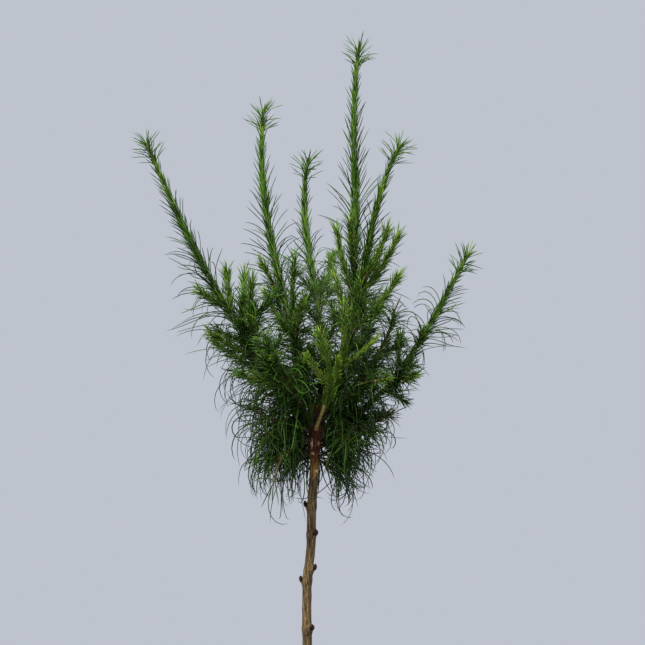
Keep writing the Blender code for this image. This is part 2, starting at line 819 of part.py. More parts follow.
def outer_shell(mesh):
    """Keep only the largest closed shell, so a sealed hollow is filled and a loose scrap is dropped."""
    bm = bmesh.new()
    bm.from_mesh(mesh)
    shells = []
    unseen = set(bm.faces)
    while unseen:
        shell = {unseen.pop()}
        edge_of = list(shell)
        while edge_of:
            face = edge_of.pop()
            for edge in face.edges:
                for near in edge.link_faces:
                    if near in unseen:
                        unseen.remove(near)
                        shell.add(near)
                        edge_of.append(near)
        shells.append(shell)
    largest = max(shells, key=len)
    spare = [face for face in bm.faces if face not in largest]
    bmesh.ops.delete(bm, geom=spare, context="FACES")
    bmesh.ops.triangulate(bm, faces=bm.faces)
    bm.to_mesh(mesh)
    bm.free()


def build_bough(limb, finish):
    """One bough: the bare foot of a leading shoot, seated on the head of the graft."""
    centres, radii = bough_line(limb)
    mesh = tube_mesh(limb.name + "_bough", centres, radii, BOUGH_SIDES, pointed=False)
    bough = mesh_object(limb.name + "_bough", mesh, finish)
    cutter = stem_object("head_cutter", extra=GAP)
    apply_boolean(bough, "DIFFERENCE", "EXACT", cutter=cutter)
    bpy.data.objects.remove(cutter)
    bough.data.shade_smooth()
    bough.data.set_sharp_from_angle(angle=math.radians(50))


def fitted(line, owner, taken, segments):
    """A needle's line, shortened where it would leave its mass's space, or None if it has no room."""
    for share in (1, SHORT_SHARE):
        tried = [line[0].lerp(point, share) for point in line]
        if has_room(tried, owner, segments) and not crosses(tried, taken):
            return tried
    return None


def mass_pieces(index, limb, segments):
    """The short shoots of a mass and all of its sprays, as objects."""
    rng = random.Random(SEED * 100 + index)
    twigs = twigs_of(limb)
    pieces = []
    taken = []
    for twig in twigs[1:]:
        mesh = tube_mesh("shoot", twig.centres, twig.radii, SIDE_SIDES, pointed=True)
        pieces.append(mesh_object("shoot", mesh))
    for twig in twigs:
        teeth = LEADER_TEETH if twig is twigs[0] else SIDE_TEETH
        for along, lines in [*tuft_sprays(twig, rng), *stem_sprays(twig, teeth, limb, rng)]:
            tried = [fitted(line, index, taken, segments) for line in lines]
            kept = [line for line in tried if line]
            if not kept:
                continue
            pieces.append(spray_object(along, kept))
            for line in kept:
                taken += zip(line, line[1:])
    return pieces


def build_mass(index, limb, segments, finish):
    """One mass of foliage: the leader's core with its short shoots and sprays fused on."""
    name = limb.name + "_mass"
    leader = leader_twig(limb)
    mesh = tube_mesh(name, leader.centres, leader.radii, LEADER_SIDES, pointed=True)
    mass = mesh_object(name, mesh, finish)
    group = gather(name + "_pieces", mass_pieces(index, limb, segments))
    apply_boolean(mass, "UNION", "MANIFOLD", collection=group)
    discard(group)
    outer_shell(mass.data)


def main():
    """Build the whole plant."""
    clear_scene()
    build_pot()
    build_soil()
    build_trunk()
    wood = bark()
    green = needle_green()
    segments = plant_segments()
    for limb in LIMBS:
        build_bough(limb, wood)
    for index, limb in enumerate(LIMBS):
        build_mass(index, limb, segments, green)


if __name__ == "__main__":
    main()
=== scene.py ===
"""The looks of a young grafted tamarack in a clay pot.

Metres, +Z up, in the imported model's own frame, with the front of the plant towards -Y. The bare
stem, the boughs, the pot and the compost are modelled again with their surface relief. The crown
grows by the same rule as the solids: leading shoots, short shoots and spurs on cubic and quadratic
curves, with needles in a golden-angle spiral whose length, lean and droop follow their age and
their height. Every needle is an opaque mesh, and sprays of needles are dealt one of a few greens.
"""

from __future__ import annotations

import logging
import math
from dataclasses import dataclass, field, fields
from enum import Enum

import bpy
import numpy as np
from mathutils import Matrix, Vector, noise

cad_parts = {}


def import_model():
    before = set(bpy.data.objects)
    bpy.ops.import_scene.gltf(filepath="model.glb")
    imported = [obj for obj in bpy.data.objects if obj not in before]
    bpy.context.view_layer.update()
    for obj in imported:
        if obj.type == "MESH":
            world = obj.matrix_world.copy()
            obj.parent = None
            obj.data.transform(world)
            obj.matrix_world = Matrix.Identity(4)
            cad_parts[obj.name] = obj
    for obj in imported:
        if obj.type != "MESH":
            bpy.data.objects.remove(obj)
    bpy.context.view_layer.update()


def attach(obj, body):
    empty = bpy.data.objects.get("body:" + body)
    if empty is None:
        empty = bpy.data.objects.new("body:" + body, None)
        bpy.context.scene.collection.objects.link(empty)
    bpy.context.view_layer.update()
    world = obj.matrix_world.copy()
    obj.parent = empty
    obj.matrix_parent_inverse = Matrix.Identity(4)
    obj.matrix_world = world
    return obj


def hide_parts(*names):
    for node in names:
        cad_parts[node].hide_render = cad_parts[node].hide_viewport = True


LOG = logging.getLogger("tamarack")
BODY = "root"
RIGHT, BACK, UP = np.eye(3)
GOLDEN_ANGLE = math.radians(137.5)
MOST_TRIANGLES = 190_000

Array = np.ndarray
Point = tuple[float, float, float]
Colour = tuple[float, float, float]
Range = tuple[float, float]
Profile = list[Range]
Socket = bpy.types.NodeSocket
Material = bpy.types.Material
Piece = bpy.types.Object
Chance = np.random.Generator


class Tint(Enum):
    """The greens dealt to sprays: lighter on young needles, darker on old ones and as painted shade.
    """

    LIME = 0
    FRESH = 1
    GREEN = 2
    DEEP = 3
    DUSK = 4


class Habit(Enum):
    """The three ways that needles stand on a shoot."""

    PRESSED = "pressed"
    STANDING = "standing"
    STAR = "star"


class Order(Enum):
    """How a shoot is carried: by the stem, by a leader, or by either of those two."""

    LEADER = 0
    SIDE = 1
    SPUR = 2


@dataclass(frozen=True)
class Cloud:
    """A cloud pattern: clouds a metre, layers of finer cloud, and its stretch along each axis."""

    scale: float
    detail: float
    stretch: Point = (1.0, 1.0, 1.0)


class Recipe:
    """A new material, with short calls that add nodes to it."""

    RAGGED = Cloud(500.0, 4.0)
    RAGGED_REACH = 0.003
    FULL_SHARE = 0.55

    def __init__(self, name: str, roughness: float) -> None:
        """Make the material.

        Args:
            name: The material's name.
            roughness: The shader's roughness.
        """
        self.material = bpy.data.materials.new(name)
        self.material.use_nodes = True
        self.tree = self.material.node_tree
        self.shader = self.tree.nodes["Principled BSDF"]
        self.shader.inputs["Roughness"].default_value = roughness

    def plain(self, colour: Colour) -> None:
        """Give the shader one base colour."""
        self.shader.inputs["Base Color"].default_value = (*colour, 1.0)

    def feed(self, socket: Socket, value: Socket | Colour | float) -> None:
        """Link a socket to another one, or give it a value.

        Args:
            socket: The socket to feed.
            value: The other socket, or the value.
        """
        if isinstance(value, Socket):
            self.tree.links.new(value, socket)
        else:
            socket.default_value = value

    def add(self, kind: str, **inputs: object) -> bpy.types.Node:
        """Add a node.

        Args:
            kind: The node's type.
            **inputs: Values or sockets for its inputs. An underscore stands for a space.

        Returns:
            The new node.
        """
        node = self.tree.nodes.new(kind)
        for name, value in inputs.items():
            self.feed(node.inputs[name.replace("_", " ")], value)
        return node

    def place(self) -> Socket:
        """The object's own coordinates."""
        return self.add("ShaderNodeTexCoord").outputs["Object"]

    def noise(self, cloud: Cloud) -> Socket:
        """The value of a cloud pattern on the object's own coordinates."""
        node = self.add("ShaderNodeMapping", Vector=self.place(), Scale=cloud.stretch)
        return self.clouds(cloud, node.outputs["Vector"]).outputs["Fac"]

    def clouds(self, cloud: Cloud, place: Socket) -> bpy.types.Node:
        """A cloud pattern on any coordinates."""
        return self.add("ShaderNodeTexNoise", Vector=place, Scale=cloud.scale, Detail=cloud.detail)

    def ramp(self, value: Socket, *stops: tuple[float, Colour]) -> Socket:
        """Colours along a value.

        Args:
            value: The value to read.
            *stops: The place and colour of each stop.

        Returns:
            The colour.
        """
        node = self.add("ShaderNodeValToRGB", Fac=value)
        elements = node.color_ramp.elements
        while len(elements) < len(stops):
            elements.new(0.5)
        for element, (position, colour) in zip(elements, stops):
            element.position = position
            element.color = (*colour, 1.0)
        return node.outputs["Color"]

    def mix(self, share: Socket, first: Socket | Colour, second: Socket | Colour) -> Socket:
        """Mix two colours.

        Args:
            share: How much of the second shows.
            first: A colour or a colour socket.
            second: A colour or a colour socket.

        Returns:
            The mixed colour.
        """
        node = self.tree.nodes.new("ShaderNodeMix")
        node.data_type = "RGBA"
        self.feed(node.inputs["Factor"], share)
        for index, value in ((6, first), (7, second)):
            self.feed(node.inputs[index], value if isinstance(value, Socket) else (*value, 1.0))
        return node.outputs[2]

    def near(self, point: Point, reach: Point) -> Socket:
        """How near the surface is to a point, with a ragged edge.

        Args:
            point: The point.
            reach: How far it counts along each axis.

        Returns:
            1 round the point, and 0 from the reach on.
        """
        coordinates = self.place()
        cloud = self.clouds(self.RAGGED, coordinates)
        ragged = self.tree.nodes.new("ShaderNodeVectorMath")
        ragged.operation = "MULTIPLY_ADD"
        values = cloud.outputs["Color"], (self.RAGGED_REACH,) * 3, coordinates
        for socket, value in zip(ragged.inputs, values):
            self.feed(socket, value)
        scale = tuple(1 / length for length in reach)
        middle = self.RAGGED_REACH / 2
        shift = tuple(-(place + middle) / length for place, length in zip(point, reach))
        moved = ragged.outputs["Vector"]
        node = self.add("ShaderNodeMapping", Vector=moved, Scale=scale, Location=shift)
        length = self.tree.nodes.new("ShaderNodeVectorMath")
        length.operation = "LENGTH"
        self.tree.links.new(node.outputs["Vector"], length.inputs[0])
        return self.spread(length.outputs["Value"], (self.FULL_SHARE, 1.0), (1.0, 0.0))

    def spread(self, value: Socket, source: Range, target: Range = (0.0, 1.0)) -> Socket:
        """Map a value from one range to another, held at the ends.

        Args:
            value: The value.
            source: The range that it comes from.
            target: The range that it goes to.

        Returns:
            The mapped value.
        """
        node = self.add("ShaderNodeMapRange", Value=value)
        for name, number in zip(("From Min", "From Max", "To Min", "To Max"), (*source, *target)):
            node.inputs[name].default_value = number
        return node.outputs["Result"]

    def maths(self, operation: str, first: Socket, second: Socket | float) -> Socket:
        """One sum on two values.

        Args:
            operation: The sum's name.
            first: The first value.
            second: A number or a second value.

        Returns:
            The result.
        """
        node = self.tree.nodes.new("ShaderNodeMath")
        node.operation = operation
        self.feed(node.inputs[0], first)
        self.feed(node.inputs[1], second)
        return node.outputs["Value"]

    def blend(self, *parts: tuple[Socket, float]) -> Socket:
        """Add values up.

        Args:
            *parts: Each value and how much of it counts.

        Returns:
            The sum.
        """
        total = None
        for value, share in parts:
            counted = value if share == 1 else self.maths("MULTIPLY", value, share)
            total = counted if total is None else self.maths("ADD", total, counted)
        return total

    def height(self) -> Socket:
        """The object's own Z."""
        return self.add("ShaderNodeSeparateXYZ", Vector=self.place()).outputs["Z"]

    def shine(self, level: float) -> None:
        """Set how strongly the surface mirrors."""
        self.shader.inputs["Specular IOR Level"].default_value = level

    def colour(self, socket: Socket) -> None:
        """Link the base colour."""
        self.tree.links.new(socket, self.shader.inputs["Base Color"])

    def roughness(self, socket: Socket) -> None:
        """Link the roughness."""
        self.tree.links.new(socket, self.shader.inputs["Roughness"])

    def bump(self, value: Socket, distance: float, strength: float) -> None:
        """Raise the surface by a value, with the real height of 1 and how much of it shows."""
        node = self.add("ShaderNodeBump", Height=value, Distance=distance, Strength=strength)
        self.tree.links.new(node.outputs["Normal"], self.shader.inputs["Normal"])


@dataclass(frozen=True)
class NeedleFinish:
    """A waxy green needle. Its colour is plain, because each spray has its own."""

    tint: Tint
    colour: Colour
    roughness: float = 0.46
    shine: float = 0.10
    wax: Cloud = Cloud(900.0, 1.0)
    wax_height: float = 0.00012
    wax_strength: float = 0.5

    def material(self) -> Material:
        """Make the finish.

        Returns:
            A new material.
        """
        recipe = Recipe(f"needle_{self.tint.name.lower()}", self.roughness)
        recipe.plain(self.colour)
        recipe.shine(self.shine)
        recipe.bump(recipe.noise(self.wax), self.wax_height, self.wax_strength)
        return recipe.material


@dataclass(frozen=True)
class BarkFinish:
    """Olive-tan bark in fine dark streaks, ochre under the graft and flaky red-brown on it.

    The grain is made of streaks, clouds and flecks. Each pale mark on the graft is given by its
    middle and its reach: the three on the red graft are painted highlights where light glints off
    its glossy bark, and the lowest is a pale scar.
    """

    name: str = "stem_bark"
    roughness: float = 0.80
    graft_roughness: float = 0.48
    dark: Colour = (0.030, 0.019, 0.008)
    tan: Colour = (0.104, 0.066, 0.026)
    pale: Colour = (0.270, 0.188, 0.088)
    ochre: Colour = (0.190, 0.105, 0.022)
    gold: Colour = (0.480, 0.300, 0.090)
    graft_dark: Colour = (0.026, 0.007, 0.003)
    graft_red: Colour = (0.105, 0.026, 0.008)
    graft_pale: Colour = (0.380, 0.135, 0.055)
    ochre_height: float = 0.436
    graft_height: float = 0.447
    blur: float = 0.003
    shine: float = 0.25
    scar_and_highlight: Colour = (0.800, 0.560, 0.400)
    scars_and_highlights: tuple[tuple[Point, Point], ...] = (
        ((0.0046, -0.0045, 0.4595), (0.0010, 0.0040, 0.0060)),
        ((0.0056, -0.0045, 0.4515), (0.0016, 0.0040, 0.0014)),
        ((0.0100, -0.0045, 0.4590), (0.0008, 0.0040, 0.0022)),
        ((0.0090, -0.0040, 0.4375), (0.0024, 0.0040, 0.0012)),
    )
    scar_and_highlight_grain: Range = (0.2, 0.6)
    scar_and_highlight_cover: Range = (0.45, 0.95)
    streaks: Cloud = Cloud(1500.0, 5.0, (1.0, 1.0, 0.06))
    clouds: Cloud = Cloud(110.0, 4.0)
    cloud_share: float = 0.20
    flecks: Cloud = Cloud(1900.0, 2.0, (1.0, 1.0, 0.4))
    fleck_share: float = 0.35
    grain_range: Range = (0.57, 0.97)
    ragged: float = 0.020
    relief: float = 0.0006
    relief_strength: float = 0.9

    def material(self) -> Material:
        """Make the finish.

        Returns:
            A new material.
        """
        recipe = Recipe(self.name, self.roughness)
        recipe.shine(self.shine)
        streaks, clouds, flecks = map(recipe.noise, (self.streaks, self.clouds, self.flecks))
        grain = recipe.blend((streaks, 1.0), (clouds, self.cloud_share), (flecks, self.fleck_share))
        grain = recipe.spread(grain, self.grain_range)
        stem = recipe.ramp(grain, (0.15, self.dark), (0.50, self.tan), (0.92, self.pale))
        ochre = recipe.ramp(grain, (0.15, self.dark), (0.55, self.ochre), (0.95, self.gold))
        graft_stops = (0.25, self.graft_dark), (0.62, self.graft_red), (0.96, self.graft_pale)
        graft = recipe.ramp(grain, *graft_stops)
        ragged = recipe.blend((recipe.height(), 1.0), (clouds, self.ragged))
        warm = recipe.mix(recipe.spread(ragged, self.edge(self.ochre_height)), stem, ochre)
        share = recipe.spread(ragged, self.edge(self.graft_height))
        colour = recipe.mix(share, warm, graft)
        # Pale marks: painted highlights on the red graft, and one pale scar below it.
        for point, reach in self.scars_and_highlights:
            near = recipe.near(point, reach)
            cover = recipe.spread(grain, self.scar_and_highlight_grain, self.scar_and_highlight_cover)
            torn_and_lit = recipe.maths("MULTIPLY", near, cover)
            colour = recipe.mix(torn_and_lit, colour, self.scar_and_highlight)
        recipe.colour(colour)
        recipe.roughness(recipe.spread(share, (0.0, 1.0), (self.roughness, self.graft_roughness)))
        recipe.bump(grain, self.relief, self.relief_strength)
        return recipe.material

    def edge(self, height: float) -> Range:
        """The raised heights between which one kind of bark gives way to the next."""
        middle = height + self.ragged / 2
        return middle - self.blur, middle + self.blur


@dataclass(frozen=True)
class ShootFinish:
    """The smooth thin bark of a shoot, with a fine lengthwise grain."""

    name: str
    dark: Colour
    pale: Colour
    roughness: float = 0.6
    shine: float = 0.5
    grain: Cloud = Cloud(650.0, 4.0, (1.0, 1.0, 0.4))
    relief: float = 0.0003
    relief_strength: float = 0.7

    def material(self) -> Material:
        """Make the finish.

        Returns:
            A new material.
        """
        recipe = Recipe(self.name, self.roughness)
        recipe.shine(self.shine)
        grain = recipe.noise(self.grain)
        recipe.colour(recipe.ramp(grain, (0.32, self.dark), (0.68, self.pale)))
        recipe.bump(grain, self.relief, self.relief_strength)
        return recipe.material


OLD_BUD = ShootFinish("old_bud", (0.004, 0.0015, 0.001), (0.034, 0.009, 0.004), shine=0.15)
BOUGH_BARK = ShootFinish("bough_bark", (0.012, 0.007, 0.004), (0.062, 0.036, 0.016))
BROWN_SHOOT = ShootFinish("brown_shoot", (0.060, 0.030, 0.012), (0.170, 0.100, 0.040))
YELLOW_SHOOT = ShootFinish("yellow_shoot", (0.110, 0.080, 0.025), (0.300, 0.230, 0.080))
GOLDEN_SHOOT = ShootFinish("golden_shoot", (0.160, 0.110, 0.030), (0.520, 0.400, 0.130))
GREEN_SHOOT = ShootFinish("green_shoot", (0.026, 0.022, 0.008), (0.074, 0.066, 0.022), 0.7, 0.3)


@dataclass(frozen=True)
class ClayFinish:
    """Dry terracotta: faintly banded, with sandy grains, a crusty pale bloom and damp low down."""

    deep: Colour = (0.300, 0.098, 0.043)
    clay: Colour = (0.455, 0.165, 0.078)
    pale: Colour = (0.560, 0.255, 0.140)
    bloom: Colour = (0.660, 0.560, 0.480)
    grog: Colour = (0.160, 0.060, 0.032)
    bands: Cloud = Cloud(60.0, 5.0, (0.25, 0.25, 4.0))
    mottle: Cloud = Cloud(70.0, 9.0)
    sand: Cloud = Cloud(1500.0, 3.0)
    grains: Cloud = Cloud(620.0, 2.0)
    grog_range: Range = (0.70, 0.74)
    grog_cover: float = 0.55
    damp_ragged: float = 0.030
    damp_heights: Range = (0.010, 0.030)
    damp_cover: float = 0.45
    patches: Cloud = Cloud(22.0, 3.0, (1.0, 1.0, 0.4))
    crust: Cloud = Cloud(260.0, 9.0)
    crust_share: float = 0.5
    bloom_range: Range = (0.87, 0.97)
    bloom_cover: float = 0.50
    roughness: Range = (0.80, 0.95)
    relief: float = 0.0004
    relief_strength: float = 0.9

    def material(self) -> Material:
        """Make the finish.

        Returns:
            A new material.
        """
        recipe = Recipe("terracotta", self.roughness[1])
        bands, mottle = recipe.noise(self.bands), recipe.noise(self.mottle)
        sand, grains = recipe.noise(self.sand), recipe.noise(self.grains)
        tone = recipe.blend((bands, 0.4), (mottle, 0.4), (sand, 0.2))
        body = recipe.ramp(tone, (0.36, self.deep), (0.50, self.clay), (0.64, self.pale))
        grog = recipe.spread(grains, self.grog_range, (0.0, self.grog_cover))
        body = recipe.mix(grog, body, self.grog)
        height = recipe.blend((recipe.height(), 1.0), (mottle, self.damp_ragged))
        damp = recipe.spread(height, self.damp_heights, (self.damp_cover, 0.0))
        body = recipe.mix(damp, body, self.deep)
        patches, crust = recipe.noise(self.patches), recipe.noise(self.crust)
        crust = recipe.blend((patches, 1.0), (crust, self.crust_share))
        shown = recipe.spread(crust, self.bloom_range, (0.0, self.bloom_cover))
        recipe.colour(recipe.mix(shown, body, self.bloom))
        recipe.roughness(recipe.spread(sand, (0.3, 0.7), self.roughness))
        raised = recipe.blend((sand, 0.5), (grains, 0.5), (shown, 0.4))
        recipe.bump(raised, self.relief, self.relief_strength)
        return recipe.material


@dataclass(frozen=True)
class CrumbFinish:
    """A rough crumbly finish, for compost and what lies in it."""

    name: str
    dark: Colour
    pale: Colour
    scale: float = 420.0
    roughness: float = 0.95
    detail: float = 6.0
    relief: float = 0.0012
    relief_strength: float = 0.9

    def material(self) -> Material:
        """Make the finish.

        Returns:
            A new material.
        """
        recipe = Recipe(self.name, self.roughness)
        crumbs = recipe.noise(Cloud(self.scale, self.detail))
        recipe.colour(recipe.ramp(crumbs, (0.34, self.dark), (0.70, self.pale)))
        recipe.bump(crumbs, self.relief, self.relief_strength)
        return recipe.material


DAMP_COMPOST = CrumbFinish("damp_compost", (0.010, 0.006, 0.004), (0.060, 0.036, 0.021))
BARK_CHIP = CrumbFinish("bark_chip", (0.045, 0.020, 0.010), (0.190, 0.095, 0.045), 700.0, 0.85)
WHITE_GRIT = CrumbFinish("white_grit", (0.420, 0.400, 0.360), (0.750, 0.730, 0.680), 900.0, 0.9)


@dataclass(frozen=True)
class StudioFinish:
    """The even pale finish of the floor."""

    colour: Colour = (0.28, 0.29, 0.31)
    roughness: float = 0.95

    def material(self) -> Material:
        """Make the finish.

        Returns:
            A new material.
        """
        recipe = Recipe("studio_floor", self.roughness)
        recipe.plain(self.colour)
        return recipe.material


@dataclass
class Patch:
    """Points and faces that are on their way to a mesh.

    points has a row for each point, corners holds the faces' point numbers end to end, and sizes
    says how many corners each face has.
    """

    points: Array
    corners: Array
    sizes: Array

    @staticmethod
    def joined(patches: list[Patch]) -> Patch:
        """Put several patches end to end."""
        starts = np.cumsum([0] + [len(patch.points) for patch in patches[:-1]])
        return Patch(
            np.concatenate([patch.points for patch in patches]),
            np.concatenate([patch.corners + start for patch, start in zip(patches, starts)]),
            np.concatenate([patch.sizes for patch in patches]),
        )

    def mesh_object(self, name: str, material: Material) -> Piece:
        """Make a smooth-shaded mesh object at the origin.

        Args:
            name: The object's name.
            material: Its finish.

        Returns:
            The new object.
        """
        mesh = bpy.data.meshes.new(name)
        mesh.vertices.add(len(self.points))
        mesh.vertices.foreach_set("co", self.points.astype(np.float32).ravel())
        mesh.loops.add(len(self.corners))
        mesh.loops.foreach_set("vertex_index", self.corners.astype(np.int32))
        mesh.polygons.add(len(self.sizes))
        starts = np.concatenate(([0], np.cumsum(self.sizes)[:-1])).astype(np.int32)
        mesh.polygons.foreach_set("loop_start", starts)
        mesh.polygons.foreach_set("use_smooth", np.ones(len(self.sizes), bool))
        mesh.update(calc_edges=True)
        mesh.materials.append(material)
        obj = bpy.data.objects.new(name, mesh)
        bpy.context.scene.collection.objects.link(obj)
        return obj


def unit(vectors: Array) -> Array:
    """Vectors of length 1 in the same directions."""
    return vectors / np.maximum(np.linalg.norm(vectors, axis=-1, keepdims=True), 1e-9)


def rotation(angle: float, first: int, second: int) -> Array:
    """A turn from one axis towards another.

    Args:
        angle: How far it turns.
        first: The number of the axis that it turns from.
        second: The number of the axis that it turns to.

    Returns:
        The turn as a matrix.
    """
    turn = np.eye(3)
    turn[first, first] = turn[second, second] = math.cos(angle)
    turn[first, second] = -math.sin(angle)
    turn[second, first] = math.sin(angle)
    return turn


def swept(lines: Array, thin: Array, wide: Array, facing: Array, sides: int, pointed: bool) -> Patch:
    """Sweep a ring along each of many lines.

    Args:
        lines: Middle lines, as (line, ring, axis).
        thin: Half the thickness at each ring, along facing.
        wide: Half the width at each ring, across facing.
        facing: A direction for each line that its flat side faces.
        sides: Points in a ring.
        pointed: Whether the last ring closes to a point.

    Returns:
        The closed tubes.
    """
    count, rings = lines.shape[:2]
    ways = unit(np.gradient(lines, axis=1))
    turns = np.arange(sides) * (math.tau / sides)
    normal = facing
    points = np.empty((count, rings, sides, 3))
    for ring in range(rings):
        way = ways[:, ring]
        normal = unit(normal - way * (normal * way).sum(-1, keepdims=True))
        across = np.cross(way, normal)
        reach = thin[:, ring, None, None] * np.cos(turns)[:, None] * normal[:, None]
        reach = reach + wide[:, ring, None, None] * np.sin(turns)[:, None] * across[:, None]
        points[:, ring] = lines[:, ring, None] + reach
    if pointed:
        points[:, -1] = lines[:, -1, None]
    number = np.arange(count * rings * sides).reshape(count, rings, sides)
    beside = np.roll(number, -1, axis=2)
    last = rings - 2 if pointed else rings - 1
    lower, upper = slice(0, last), slice(1, last + 1)
    quads = np.stack((number[:, lower], beside[:, lower], beside[:, upper], number[:, upper]), -1)
    corners = [quads.ravel(), number[:, 0, ::-1].ravel()]
    sizes = [np.full(quads.size // 4, 4), np.full(count, sides)]
    if pointed:
        tips = np.broadcast_to(number[:, -1, :1], (count, sides))
        fans = np.stack((number[:, -2], beside[:, -2], tips), -1)
        corners.append(fans.ravel())
        sizes.append(np.full(fans.size // 3, 3))
    else:
        corners.append(number[:, -1].ravel())
        sizes.append(np.full(count, sides))
    return packed(Patch(points.reshape(-1, 3), np.concatenate(corners), np.concatenate(sizes)))


def packed(patch: Patch) -> Patch:
    """The same patch without the points that no face uses."""
    used, corners = np.unique(patch.corners, return_inverse=True)
    return Patch(patch.points[used], corners.reshape(-1), patch.sizes)


def dress(obj: Piece, slot: str, *nodes: str) -> None:
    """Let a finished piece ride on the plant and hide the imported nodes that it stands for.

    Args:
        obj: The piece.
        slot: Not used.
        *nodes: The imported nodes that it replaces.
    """
    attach(obj, BODY)
    if nodes:
        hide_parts(*nodes)
    LOG.info("%s: %d faces", obj.name, len(obj.data.polygons))


def deselect_all() -> None:
    """Leave nothing selected and no object active."""
    if bpy.context.object and bpy.context.object.mode != "OBJECT":
        bpy.ops.object.mode_set(mode="OBJECT")
    bpy.ops.object.select_all(action="DESELECT")
    bpy.context.view_layer.objects.active = None


@dataclass(frozen=True)
class Side:
    """A short shoot: where it leaves its leader, from foot 0 to tip 1, and where it ends."""

    share: float
    tip: Point


@dataclass(frozen=True)
class Limb:
    """A leading shoot.

    leave and arrive are leans to the right from upright in degrees, seen from the front. foot is
    the height at which it leaves the graft, and bough the share of it that is bare. A limb with more
    droop has laxer needles, and one that is more fresh has yellower ones. Where its foot is fresh
    too, that is bare, yellow and open to view. Needles on a limb that is more close are shorter and
    lie nearer to the shoot, and on one that is more sparse they stand further apart.
    """

    name: str
    tip: Point
    leave: float
    arrive: float
    foot: float
    bough: float
    radius: float
    sides: tuple[Side, ...]
    droop: float = 0.0
    fresh: float = 0.0
    fresh_foot: bool = False
    close: float = 0.0
    sparse: float = 0.0


LIMBS: tuple[Limb, ...] = (
    Limb("left_leader", (-0.1270, -0.020, 0.699), -45, -23, 0.478, 0.12, 0.0027, (
        Side(0.44, (-0.0845, -0.032, 0.582)),
        Side(0.40, (-0.0635, -0.006, 0.598)),
        Side(0.34, (-0.0500, 0.022, 0.596)),
        Side(0.30, (-0.0430, -0.030, 0.590)),
        Side(0.26, (-0.0750, -0.045, 0.548)),
    ), sparse=-0.15),
    Limb("left_inner_leader", (-0.0348, 0.058, 0.729), -13, 6, 0.484, 0.12, 0.0026, (
        Side(0.38, (-0.0350, 0.020, 0.604)),
        Side(0.28, (-0.0335, 0.060, 0.580)),
    )),
    Limb("back_leader", (0.0016, 0.092, 0.691), 15, 11, 0.482, 0.14, 0.0025, (
        Side(0.42, (0.022, 0.108, 0.612)),
    )),
    Limb("top_leader", (0.0424, 0.012, 0.776), 30, 8, 0.486, 0.11, 0.0028, (
        Side(0.40, (0.0352, -0.018, 0.638)),
        Side(0.34, (0.0245, 0.004, 0.631)),
        Side(0.28, (0.0195, 0.034, 0.608)),
    )),
    Limb("right_inner_leader", (0.0748, -0.056, 0.696), 33, 29, 0.483, 0.13, 0.0026, (
        Side(0.50, (0.0640, -0.064, 0.629)),
        Side(0.46, (0.0730, -0.044, 0.625)),
        Side(0.32, (0.0720, -0.066, 0.592)),
    ), fresh=0.2),
    Limb("right_leader", (0.1305, 0.022, 0.611), 81, 30, 0.472, 0.16, 0.0027, (
        Side(0.56, (0.0930, -0.006, 0.548)),
        Side(0.42, (0.0760, 0.040, 0.545)),
        Side(0.40, (0.0860, -0.034, 0.514)),
        Side(0.34, (0.0820, 0.012, 0.490)),
    ), sparse=-0.15),
    Limb("front_upper_shoot", (-0.0088, -0.030, 0.606), -22, 6, 0.484, 0.20, 0.0021, (
        Side(0.50, (-0.0030, -0.054, 0.571)),
    )),
    Limb("front_middle_shoot", (0.0290, -0.060, 0.569), 25, -8, 0.476, 0.20, 0.0021, (
        Side(0.50, (0.0545, -0.054, 0.543)),
        Side(0.38, (0.0256, -0.068, 0.526)),
    ), fresh=1.1, close=0.40),
    Limb("front_low_shoot", (0.0110, -0.098, 0.545), 20, -20, 0.470, 0.20, 0.0013, (
        Side(0.50, (0.0020, -0.094, 0.530)),
    ), fresh=1.1, fresh_foot=True, close=0.40),
    Limb("front_left_shoot", (-0.0335, -0.066, 0.548), -30, -20, 0.474, 0.20, 0.0021, (
        Side(0.42, (-0.0520, -0.060, 0.516)),
    )),
    Limb("front_right_shoot", (0.0700, -0.030, 0.566), 50, 8, 0.477, 0.20, 0.0021, (
        Side(0.40, (0.0640, -0.062, 0.512)),
    ), sparse=0.3),
    Limb("back_left_shoot", (-0.0480, 0.076, 0.572), -42, -6, 0.476, 0.19, 0.0022, (
        Side(0.42, (-0.0740, 0.042, 0.540)),
    )),
    Limb("back_right_shoot", (0.0560, 0.082, 0.578), 40, 8, 0.478, 0.19, 0.0022, (
        Side(0.42, (0.0780, 0.060, 0.540)),
    ), sparse=0.5),
    Limb("low_left_shoot", (-0.0460, -0.014, 0.490), -78, -52, 0.469, 0.22, 0.0020, (
        Side(0.60, (-0.0400, 0.026, 0.474)),
        Side(0.25, (-0.0300, -0.018, 0.446)),
        Side(0.40, (-0.0340, -0.030, 0.462)),
    ), droop=1.0),
    Limb("low_right_shoot", (0.0700, -0.014, 0.484), 84, 62, 0.466, 0.22, 0.0020, (
        Side(0.60, (0.0540, 0.026, 0.468)),
        Side(0.25, (0.0360, 0.004, 0.442)),
        Side(0.40, (0.0340, -0.030, 0.456)),
    ), droop=0.6, sparse=0.2),
    Limb("low_front_shoot", (-0.0280, -0.026, 0.444), -66, -120, 0.462, 0.24, 0.0018, (
        Side(0.50, (-0.0150, -0.034, 0.450)),
        Side(0.70, (-0.0260, -0.030, 0.426)),
    ), droop=1.0),
    Limb("low_back_shoot", (0.0290, 0.034, 0.444), 66, 120, 0.463, 0.24, 0.0018, (
        Side(0.50, (-0.0210, 0.040, 0.444)),
        Side(0.70, (0.0280, 0.026, 0.426)),
    ), droop=1.0),
)


